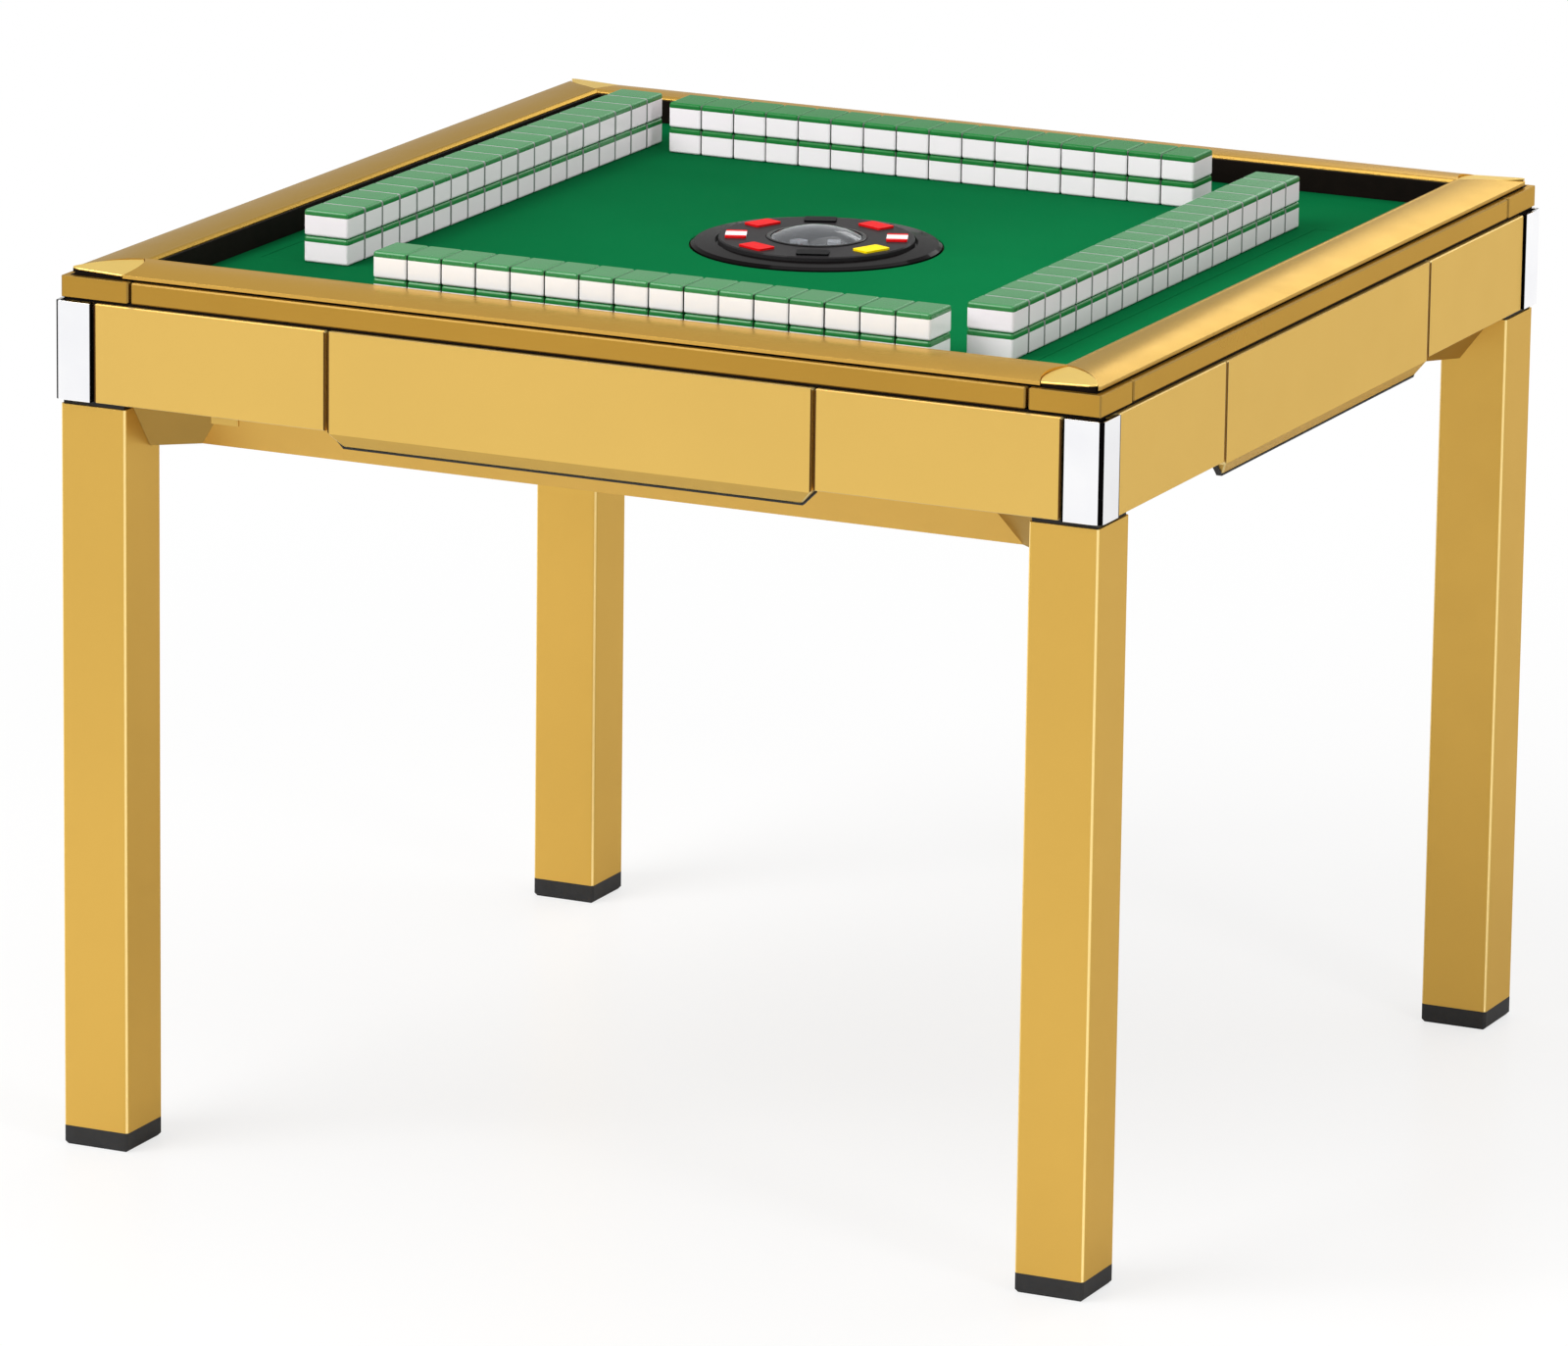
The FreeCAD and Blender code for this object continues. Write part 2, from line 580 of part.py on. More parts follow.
def rail_side():
    """Front rail with mitred ends and a crowned top, before its corners are cut."""
    inner = POST_FACE - RAIL_INNER_INSET
    outer = POST_FACE - RAIL_OUTER_INSET
    foot = POST_FACE - RAIL_FOOT_INSET
    under = TRIM_TOP_Z + RAIL_SHADOW
    crown = RAIL_CROWN_Z
    section = [
        Part.LineSegment(V(0, -outer, under + RAIL_LIP), V(0, -outer, under)),
        Part.LineSegment(V(0, -outer, under), V(0, -foot, under)),
        Part.LineSegment(V(0, -foot, under), V(0, -foot, TRIM_TOP_Z)),
        Part.LineSegment(V(0, -foot, TRIM_TOP_Z), V(0, -BOARD_HALF, TRIM_TOP_Z)),
        Part.LineSegment(V(0, -BOARD_HALF, TRIM_TOP_Z), V(0, -BOARD_HALF, FELT_TOP_Z)),
        Part.LineSegment(V(0, -BOARD_HALF, FELT_TOP_Z), V(0, -inner, FELT_TOP_Z)),
        Part.LineSegment(V(0, -inner, FELT_TOP_Z), V(0, -inner, crown - RAIL_INNER_DROP)),
        Part.Arc(V(0, -inner, crown - RAIL_INNER_DROP),
                 V(0, -inner - RAIL_INNER_DROP, crown - RAIL_INNER_DROP / 4),
                 V(0, -inner - RAIL_INNER_ROUND, crown)),
        Part.Arc(V(0, -inner - RAIL_INNER_ROUND, crown),
                 V(0, -(inner + outer) / 2 - RAIL_INNER_ROUND, crown - RAIL_MIDDLE_DROP),
                 V(0, -outer, under + RAIL_LIP)),
    ]
    face = Part.Face(Part.Wire([piece.toShape() for piece in section]))
    bar = moved(face.extrude(V(2 * outer, 0, 0)), -outer, 0)
    reach = POST_FACE
    mitre = prism([(0, 0), (reach, -reach), (-reach, -reach)], 0, 2 * crown)
    return bar.common(mitre)


def cap_outline(grow):
    """Upright prism of the front right corner cap: one seam across the rail, one out to the corner."""
    point = POST_FACE - RAIL_INNER_INSET + CAP_POINT - grow
    outer = POST_FACE - RAIL_OUTER_INSET
    far = outer - CAP_LENGTH - grow
    edge = outer + grow
    z0 = BOARD_TOP_Z
    bow = (CAP_BULGE + grow) / math.sqrt(2)
    middle = (point + edge) / 2
    across = Part.Arc(V(point, -point, z0), V((point + far) / 2 - CAP_BULGE, -middle, z0), V(far, -edge, z0))
    front = Part.LineSegment(V(far, -edge, z0), V(edge, -edge, z0))
    outward = Part.Arc(V(edge, -edge, z0), V(middle + bow, -middle + bow, z0), V(point, -point, z0))
    wire = Part.Wire([piece.toShape() for piece in (across, front, outward)])
    return Part.Face(wire).extrude(V(0, 0, 2 * RAIL_INNER_INSET))


def corner_round():
    """Everything outside the rounded outer corner of the rails, at the front right."""
    middle = POST_FACE - RAIL_OUTER_INSET - RAIL_CORNER_RADIUS
    height = 2 * RAIL_INNER_INSET
    square = block(middle, POST_FACE, -POST_FACE, -middle, BOARD_TOP_Z, BOARD_TOP_Z + height)
    return square.cut(Part.makeCylinder(RAIL_CORNER_RADIUS, height, V(middle, -middle, BOARD_TOP_Z)))


def under_cap_top(depth):
    """Slab of the given depth below the sloping plane of the front right cap's top."""
    point = POST_FACE - RAIL_INNER_INSET + CAP_POINT
    outer = POST_FACE - RAIL_OUTER_INSET
    first = V(point, -point, RAIL_CROWN_Z - CAP_POINT_DROP)
    second = V(outer - CAP_LENGTH, -outer, RAIL_CROWN_Z - CAP_SEAM_DROP)
    third = V(outer, -outer, RAIL_CROWN_Z - CAP_CORNER_DROP)
    normal = (third - first).cross(second - first)
    reach = 2 * RAIL_INNER_INSET
    square = []
    for sx, sy in ((-1, -1), (1, -1), (1, 1), (-1, 1)):
        dx = sx * reach
        dy = sy * reach
        square.append(first + V(dx, dy, -(normal.x * dx + normal.y * dy) / normal.z))
    return Part.Face(Part.makePolygon(square + square[:1])).extrude(V(0, 0, -depth))


def corner_cap():
    """Flat plate over the front right corner, with a plug down to the trim and the felt."""
    outline = cap_outline(0).cut(corner_round())
    foot = POST_FACE - RAIL_FOOT_INSET
    top = RAIL_CROWN_Z
    plate = outline.common(under_cap_top(CAP_PLATE))
    plug = outline.common(under_cap_top(RAIL_INNER_INSET))
    upper = plug.common(block(0, foot, -foot, 0, TRIM_TOP_Z, top))
    lower = plug.common(block(0, BOARD_HALF, -BOARD_HALF, 0, FELT_TOP_Z, top))
    return plate.fuse([upper, lower]).removeSplitter()


def at_corners(shape):
    """The front right shape at all four corners, mirrored where front and back swap ends."""
    mirrored = shape.mirror(V(0, 0, 0), V(1, 0, 0))
    return [shape, turned(shape, 180), mirrored, turned(mirrored, 180)]


def rails_and_caps():
    sides = {side: turned(rail_side(), angle) for side, angle in SIDES.items()}
    ring = sides["front"]
    for side in ("right", "back", "left"):
        ring = ring.fuse(sides[side])
    ring = ring.removeSplitter()
    for waste in at_corners(corner_round()) + at_corners(cap_outline(CAP_SEAM)):
        ring = ring.cut(waste)
    rails = {}
    for side, angle in SIDES.items():
        reach = POST_FACE
        wedge = turned(prism([(0, 0), (reach, -reach), (-reach, -reach)], 0, 2 * TRIM_TOP_Z), angle)
        rails[side] = ring.common(wedge)
    return rails, at_corners(corner_cap())


# ---------------------------------------------------------------- lifts and tiles
def wall_lift(side):
    """Lift plate flush in its slot, on two square stems."""
    length = wall_length(side)
    x = wall_shift(side)
    top = FELT_TOP_Z - LIFT_BELOW_FELT
    bottom = top - LIFT_THICKNESS
    half_y = TILE_LENGTH / 2
    y = -LIFT_FROM_MIDDLE
    solids = [block(x - length / 2, x + length / 2, y - half_y, y + half_y, bottom, top)]
    half = STEM_WIDTH / 2
    for stem_x in stem_places(side):
        solids.append(block(stem_x - half, stem_x + half, y - half, y + half, bottom - STEM_LENGTH, bottom))
    return [turned(solid, SIDES[side]) for solid in solids]


def tile_wall(side):
    """Two layers of tiles along one side, lying across their wall."""
    first = wall_shift(side) - wall_length(side) / 2
    y = PUSHED_IN[side] - LIFT_FROM_MIDDLE
    half_y = TILE_LENGTH / 2
    solids = []
    for column in range(wall_columns(side)):
        x0 = first + column * TILE_PITCH + TILE_GAP / 2
        x1 = x0 + TILE_PITCH - TILE_GAP
        for layer in range(TILE_LAYERS):
            z0 = FELT_TOP_Z + TILE_REST_GAP + layer * TILE_THICKNESS
            solids.append(block(x0, x1, y - half_y, y + half_y, z0, z0 + TILE_THICKNESS))
    return [turned(solid, SIDES[side]) for solid in solids]


# ------------------------------------------------------------------- shuffle disc
def shuffle_disc():
    bore = COLUMN_GUIDE_RADIUS + DISC_BORE_GAP
    z = DISC_BOTTOM_Z
    top = z + DISC_THICKNESS
    return revolved([(bore, z), (DISC_RADIUS, z), (DISC_RADIUS, top), (DISC_CONE_RADIUS, top),
                     (DISC_CONE_TIP_RADIUS, z + DISC_CONE_HEIGHT), (bore, z + DISC_CONE_HEIGHT)])


def wheel_place():
    return (WHEEL_FROM_MIDDLE / math.sqrt(2), WHEEL_FROM_MIDDLE / math.sqrt(2))


def drive_wheel():
    x, y = wheel_place()
    z = DISC_BOTTOM_Z - (WHEEL_THICKNESS - DISC_THICKNESS) / 2
    wheel = Part.makeCylinder(WHEEL_RADIUS, WHEEL_THICKNESS, V(x, y, z))
    length = MOTOR_ABOVE_WHEEL + MOTOR_HEIGHT / 2
    shaft = Part.makeCylinder(WHEEL_SHAFT_RADIUS, length, V(x, y, z + WHEEL_THICKNESS))
    return wheel.fuse(shaft).removeSplitter()


def disc_motor():
    """Geared motor on a plate with three legs that stand on the deck."""
    x, y = wheel_place()
    bottom = DISC_BOTTOM_Z + (WHEEL_THICKNESS + DISC_THICKNESS) / 2 + MOTOR_ABOVE_WHEEL
    body = Part.makeCylinder(MOTOR_RADIUS, MOTOR_HEIGHT, V(x, y, bottom))
    half = MOTOR_RADIUS + MOTOR_LEG
    body = body.fuse(block(x - half, x + half, y - half, y + half, bottom, bottom + MOTOR_PLATE))
    for sx, sy in ((1, 1), (1, -1), (-1, 1)):
        leg_x = x + sx * (half - MOTOR_LEG / 2)
        leg_y = y + sy * (half - MOTOR_LEG / 2)
        post = block(leg_x - MOTOR_LEG / 2, leg_x + MOTOR_LEG / 2, leg_y - MOTOR_LEG / 2,
                     leg_y + MOTOR_LEG / 2, DECK_TOP_Z, bottom)
        body = body.fuse(post)
    bore = Part.makeCylinder(WHEEL_SHAFT_RADIUS + SHAFT_GAP, MOTOR_HEIGHT / 2 + SHAFT_GAP, V(x, y, bottom))
    return body.cut(bore).removeSplitter()


# ------------------------------------------------------------------------ console
def key_angle(index):
    return KEY_FIRST_ANGLE + index * 360.0 / KEY_COUNT


def key_block(index, gap, z0, z1):
    """Rounded rectangle across the key ring at one key's place."""
    half_r = KEY_WIDTH / 2 + gap
    half_t = KEY_LENGTH / 2 + gap
    cap = block(KEY_RING_RADIUS - half_r, KEY_RING_RADIUS + half_r, -half_t, half_t, z0, z1)
    return turned(round_edges_along_z(cap, KEY_CORNER + gap), key_angle(index))


def key_bottom_z():
    return FELT_TOP_Z + CONSOLE_TOP_RISE + KEY_PROUD - KEY_HEIGHT


def console_body():
    """Round cover: outer ring, groove, raised disc, key pockets and dice well."""
    top = FELT_TOP_Z + CONSOLE_TOP_RISE
    ring = FELT_TOP_Z + CONSOLE_RING_RISE
    groove = CONSOLE_DISC_RADIUS + CONSOLE_GROOVE
    inner = CONSOLE_RADIUS - CONSOLE_SHELL
    under = FELT_TOP_Z - CONSOLE_DECK_DEPTH
    well = DOME_RADIUS + PLATE_GAP
    well_floor = FELT_TOP_Z - WELL_DEPTH
    profile = [
        (CONSOLE_RADIUS, CONSOLE_BOTTOM_Z), (CONSOLE_RADIUS, FELT_TOP_Z + CONSOLE_EDGE_RISE),
        (CONSOLE_RADIUS - CONSOLE_SHELL, ring - CONSOLE_EDGE_RISE), (groove, ring),
        (groove, FELT_TOP_Z + CONSOLE_GROOVE_RISE), (CONSOLE_DISC_RADIUS, FELT_TOP_Z + CONSOLE_GROOVE_RISE),
        (CONSOLE_DISC_RADIUS, top - CONSOLE_EDGE_RISE), (CONSOLE_DISC_RADIUS - CONSOLE_EDGE_RISE, top),
        (well, top), (well, well_floor), (2 * PLATE_STEM_RADIUS, well_floor),
        (2 * PLATE_STEM_RADIUS, well_floor - CONSOLE_SHELL), (well + CONSOLE_SHELL, well_floor - CONSOLE_SHELL),
        (well + CONSOLE_SHELL, under), (inner, under), (inner, CONSOLE_BOTTOM_Z),
    ]
    body = revolved(profile)
    floor = key_bottom_z() - KEY_TRAVEL - KEY_POCKET_SPARE
    for index in range(KEY_COUNT):
        body = body.cut(key_block(index, KEY_GAP, floor, top))
    return body


def console_key(index):
    z = key_bottom_z()
    return key_block(index, 0, z, z + KEY_HEIGHT)


def console_column():
    """Plate under the cover, on a round column that slides in the deck's sleeve."""
    plate = Part.makeCylinder(CONSOLE_RADIUS - CONSOLE_SHELL / 2, COLUMN_FLANGE,
                              V(0, 0, CONSOLE_BOTTOM_Z - COLUMN_FLANGE))
    bottom = DECK_TOP_Z + COLUMN_CLEARANCE
    column = Part.makeCylinder(COLUMN_RADIUS, CONSOLE_BOTTOM_Z - COLUMN_FLANGE - bottom, V(0, 0, bottom))
    return plate.fuse(column).removeSplitter()


def dice_dome():
    """Shallow clear cap that stands in the mouth of the dice well."""
    seat = FELT_TOP_Z + CONSOLE_TOP_RISE - DOME_SEAT
    crown = seat + DOME_SEAT + DOME_RISE

    def cap(radius, rise, base):
        ball = (radius * radius + rise * rise) / (2 * rise)
        sphere = Part.makeSphere(ball, V(0, 0, base + rise - ball))
        return sphere.common(Part.makeCylinder(radius, rise, V(0, 0, base)))

    outer = Part.makeCylinder(DOME_RADIUS, DOME_SEAT, V(0, 0, seat))
    outer = outer.fuse(cap(DOME_RADIUS, DOME_RISE, seat + DOME_SEAT))
    radius = DOME_RADIUS - DOME_WALL
    inner = Part.makeCylinder(radius, DOME_SEAT, V(0, 0, seat))
    inner = inner.fuse(cap(radius, crown - DOME_WALL - seat - DOME_SEAT, seat + DOME_SEAT))
    return outer.cut(inner).removeSplitter()


def dice_plate():
    top = FELT_TOP_Z - PLATE_DROP
    plate = Part.makeCylinder(DOME_RADIUS, PLATE_THICKNESS, V(0, 0, top - PLATE_THICKNESS))
    bottom = CONSOLE_BOTTOM_Z + PLATE_GAP
    stem = Part.makeCylinder(PLATE_STEM_RADIUS, top - PLATE_THICKNESS - bottom, V(0, 0, bottom))
    return plate.fuse(stem).removeSplitter()


def dice():
    half = DIE_SIZE / 2
    z = FELT_TOP_Z - PLATE_DROP
    die = block(-half, half, -half, half, z, z + DIE_SIZE)
    return [moved(turned(die, 25), DIE_FROM_MIDDLE, half), moved(turned(die, -20), -DIE_FROM_MIDDLE, -half)]


# --------------------------------------------------------------------- electrics
def control_board():
    half = BOARD_SIZE / 2
    z = DECK_TOP_Z + PCB_STANDOFF
    board = block(PCB_X - half, PCB_X + half, PCB_Y - half, PCB_Y + half, z, z + PCB_THICKNESS)
    for sx in (-1, 1):
        for sy in (-1, 1):
            x = PCB_X + sx * (half - PCB_STANDOFF_INSET)
            y = PCB_Y + sy * (half - PCB_STANDOFF_INSET)
            board = board.fuse(Part.makeCylinder(PCB_STANDOFF_RADIUS, PCB_STANDOFF, V(x, y, DECK_TOP_Z)))
    for shift in (-1, 1):
        x = PCB_X - CHIP_LENGTH / 2
        y = PCB_Y + shift * CHIP_WIDTH - CHIP_WIDTH / 2
        z0 = z + PCB_THICKNESS
        board = board.fuse(block(x, x + CHIP_LENGTH, y, y + CHIP_WIDTH, z0, z0 + CHIP_HEIGHT))
    return board.removeSplitter()


def power_inlet():
    """Socket box screwed up under the tub, its mouth facing down."""
    half_x = INLET_LENGTH / 2
    half_y = INLET_WIDTH / 2
    top = TUB_BOTTOM_Z
    mouth = top - INLET_HEIGHT
    body = block(-half_x, half_x, INLET_Y - half_y, INLET_Y + half_y, mouth, top)
    rim_x = half_x + INLET_FLANGE
    rim_y = half_y + INLET_FLANGE
    rim = block(-rim_x, rim_x, INLET_Y - rim_y, INLET_Y + rim_y, top - INLET_FLANGE_THICKNESS, top)
    socket_x = half_x - INLET_WALL
    socket_y = half_y - INLET_WALL
    socket = block(-socket_x, socket_x, INLET_Y - socket_y, INLET_Y + socket_y, mouth, top - INLET_WALL)
    return body.fuse(rim).cut(socket).removeSplitter()


# -------------------------------------------------------------------------- build
def four(shape):
    return [turned(shape, angle) for angle in SIDES.values()]


def main():
    os.makedirs("parts", exist_ok=True)
    save("base_tub", [base_tub()] + tub_corners())
    one_leg = leg()
    for corner, angle in CORNERS.items():
        save("leg_" + corner, [turned(one_leg, angle)])
    save("rubber_feet", four(rubber_foot()))
    save("leg_brackets", four(leg_bracket()))
    save("leg_bolts", [turned(leg_bolt(x, y), angle) for angle in SIDES.values() for x, y in bolt_places()])
    save("corner_posts", four(corner_post()))
    save("main_frame", main_frame())
    save("machine_deck", machine_deck())
    save("table_board", [top_layer(BOARD_BOTTOM_Z, BOARD_TOP_Z)])
    save("playing_felt", [top_layer(BOARD_TOP_Z, FELT_TOP_Z)])
    save("trim_bands", four(trim_band()))
    save("trim_corner_blocks", four(trim_corner_block()))
    rails, caps = rails_and_caps()
    save("rail_corner_caps", caps)
    face = drawer_face()
    tray = drawer_tray()
    runners = []
    for side, angle in SIDES.items():
        save("top_rail_" + side, [rails[side]])
        save("apron_" + side, [turned(panel, angle) for panel in apron()])
        save("drawer_face_" + side, [turned(face, angle)])
        save("drawer_tray_" + side, [turned(tray, angle)])
        save("wall_lift_" + side, wall_lift(side))
        save("tile_wall_" + side, tile_wall(side))
        runners += [turned(rail, angle) for rail in drawer_runners()]
    save("drawer_runners", runners)
    save("shuffle_disc", [shuffle_disc()])
    save("disc_bearing", [tube(BEARING_RADIUS, COLUMN_GUIDE_RADIUS + DISC_BORE_GAP, DECK_TOP_Z, DISC_BOTTOM_Z)])
    save("drive_wheel", [drive_wheel()])
    save("disc_motor", [disc_motor()])
    save("console_body", [console_body()])
    for index, name in enumerate(KEY_NAMES):
        save("console_key_" + name, [console_key(index)])
    save("console_column", [console_column()])
    save("dice_dome", [dice_dome()])
    save("dice_plate", [dice_plate()])
    save("dice", dice())
    save("control_board", [control_board()])
    save("power_inlet", [power_inlet()])


main()
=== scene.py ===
import json
import math
import random

import bmesh
import bpy
from mathutils import Matrix, Vector


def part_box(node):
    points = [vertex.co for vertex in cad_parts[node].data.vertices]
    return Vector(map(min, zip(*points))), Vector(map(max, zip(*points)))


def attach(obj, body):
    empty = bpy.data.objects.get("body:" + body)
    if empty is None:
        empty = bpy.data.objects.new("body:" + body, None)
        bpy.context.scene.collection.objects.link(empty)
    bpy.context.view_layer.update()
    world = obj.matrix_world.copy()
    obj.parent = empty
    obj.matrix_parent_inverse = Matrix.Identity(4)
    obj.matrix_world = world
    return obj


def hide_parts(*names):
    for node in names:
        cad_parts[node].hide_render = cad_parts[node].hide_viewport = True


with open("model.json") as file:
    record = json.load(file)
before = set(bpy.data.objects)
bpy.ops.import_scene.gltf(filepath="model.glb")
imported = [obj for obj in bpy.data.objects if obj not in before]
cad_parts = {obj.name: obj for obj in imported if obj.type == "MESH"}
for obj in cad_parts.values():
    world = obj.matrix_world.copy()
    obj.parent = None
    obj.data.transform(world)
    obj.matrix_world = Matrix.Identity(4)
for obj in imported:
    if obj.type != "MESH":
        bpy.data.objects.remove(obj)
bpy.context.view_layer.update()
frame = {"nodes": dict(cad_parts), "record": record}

MM = 0.001
SEED = 11
SIDES = {"front": 0, "right": 90, "back": 180, "left": 270}      # degrees about Z from the front
NODES = frame["nodes"]

# Places read from the frame, in metres from its origin.
POST_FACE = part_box("corner_posts")[1].x
APRON_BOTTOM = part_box("apron_front")[0].z
APRON_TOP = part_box("apron_front")[1].z
TRIM_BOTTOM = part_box("trim_bands")[0].z
TRIM_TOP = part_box("trim_bands")[1].z
TRIM_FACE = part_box("trim_bands")[1].x
FELT_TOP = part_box("playing_felt")[1].z
RAIL_INNER = -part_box("top_rail_front")[1].y
RAIL_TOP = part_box("top_rail_front")[1].z
CAP_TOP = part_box("rail_corner_caps")[1].z
CONSOLE_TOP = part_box("console_body")[1].z
DOME_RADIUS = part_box("dice_dome")[1].x

# Sizes that the part's source has too.
POST_FLANGE = 33 * MM
RAIL_FOOT = POST_FACE - 18 * MM
RAIL_EDGE = POST_FACE - 9 * MM
CAP_LENGTH = 47 * MM
CAP_POINT = 6 * MM              # from the rails' inner corner to the point of a cap
CAP_SEAM_DROP = 4 * MM          # from the point down to the outer end of the seam
CAP_CORNER_DROP = 2.2 * MM      # from the point down to the outer corner
CONSOLE_DISC_RADIUS = 79.5 * MM
PLATE_TOP = FELT_TOP - 6 * MM


# ------------------------------------------------------------------ mesh helpers
def as_mesh(bm, name):
    mesh = bpy.data.meshes.new(name)
    bm.to_mesh(mesh)
    bm.free()
    return mesh


def add_piece(name, bm, materials, body, smooth=True):
    """Turns a bmesh into a piece of the object that rides on a body."""
    mesh = as_mesh(bm, name)
    for material in materials:
        mesh.materials.append(material)
    for polygon in mesh.polygons:
        polygon.use_smooth = smooth
    piece = bpy.data.objects.new(name, mesh)
    bpy.context.scene.collection.objects.link(piece)
    if smooth:
        weigh_normals(piece)
    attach(piece, body)
    return piece


def weigh_normals(piece):
    """Keeps flat faces looking flat beside rounded edges."""
    modifier = piece.modifiers.new("weighted_normals", "WEIGHTED_NORMAL")
    modifier.mode = "FACE_AREA"
    modifier.weight = 50


def rounded_box(size, radius, segments=3):
    """A box about the origin with all of its edges rounded."""
    bm = bmesh.new()
    bmesh.ops.create_cube(bm, size=1)
    bmesh.ops.scale(bm, vec=size, verts=bm.verts)
    bmesh.ops.bevel(bm, geom=bm.edges[:], offset=radius, segments=segments, profile=0.5,
                    affect="EDGES", clamp_overlap=True)
    return bm


def bridge(bm, first, second):
    """The faces between two closed loops with as many corners."""
    faces = []
    for index in range(len(first)):
        after = (index + 1) % len(first)
        faces.append(bm.faces.new((first[index], second[index], second[after], first[after])))
    return faces


def prism(bm, first, second, material=0):
    """The faces of a solid between two closed loops with as many corners."""
    faces = [bm.faces.new(first), bm.faces.new(second[::-1])] + bridge(bm, first, second)
    for face in faces:
        face.material_index = material


def closed_ring(loops):
    """A ring through loops of (x, y, z) corners, the last joined to the first."""
    bm = bmesh.new()
    rings = [[bm.verts.new(corner) for corner in loop] for loop in loops]
    for index, ring in enumerate(rings):
        bridge(bm, ring, rings[(index + 1) % len(rings)])
    bmesh.ops.recalc_face_normals(bm, faces=bm.faces)
    return bm


def lathe(profile, steps=128):
    """The profile of (radius, height) points turned about Z."""
    loops = []
    for step in range(steps):
        angle = 2 * math.pi * step / steps
        loops.append([(r * math.cos(angle), r * math.sin(angle), z) for r, z in profile])
    return closed_ring(loops)


def square_ring(profile):
    """A square frame: the profile of (distance from the middle, height) points, mitred at the corners."""
    signs = ((1, -1), (1, 1), (-1, 1), (-1, -1))
    return closed_ring([[(sx * r, sy * r, z) for r, z in profile] for sx, sy in signs])


def extruded(outline, depth):
    """A solid from an outline of (x, z) points in the XZ plane, depth towards +Y."""
    bm = bmesh.new()
    near = [bm.verts.new((x, 0, z)) for x, z in outline]
    far = [bm.verts.new((x, depth, z)) for x, z in outline]
    prism(bm, near, far)
    bmesh.ops.recalc_face_normals(bm, faces=bm.faces)
    return bm


def turn_to(bm, side):
    """Turns what was built at the front to another side."""
    turn = Matrix.Rotation(math.radians(SIDES[side]), 3, "Z")
    bmesh.ops.rotate(bm, cent=(0, 0, 0), matrix=turn, verts=bm.verts)
    return bm


def copy_into(bm, part, matrix):
    """Adds a copy of a mesh to bm, moved by matrix, and keeps its material numbers."""
    first = len(bm.verts)
    bm.from_mesh(part)
    bm.verts.ensure_lookup_table()
    for vert in bm.verts[first:]:
        vert.co = matrix @ vert.co


# -------------------------------------------------------------------- materials
def linear(red, green, blue):
    """Linear colour from 0-255 sRGB values."""
    def channel(value):
        value /= 255
        return value / 12.92 if value <= 0.04045 else ((value + 0.055) / 1.055) ** 2.4
    return (channel(red), channel(green), channel(blue), 1)


def scaled(colour, factor):
    return tuple(min(1, part * factor) for part in colour[:3]) + (1,)


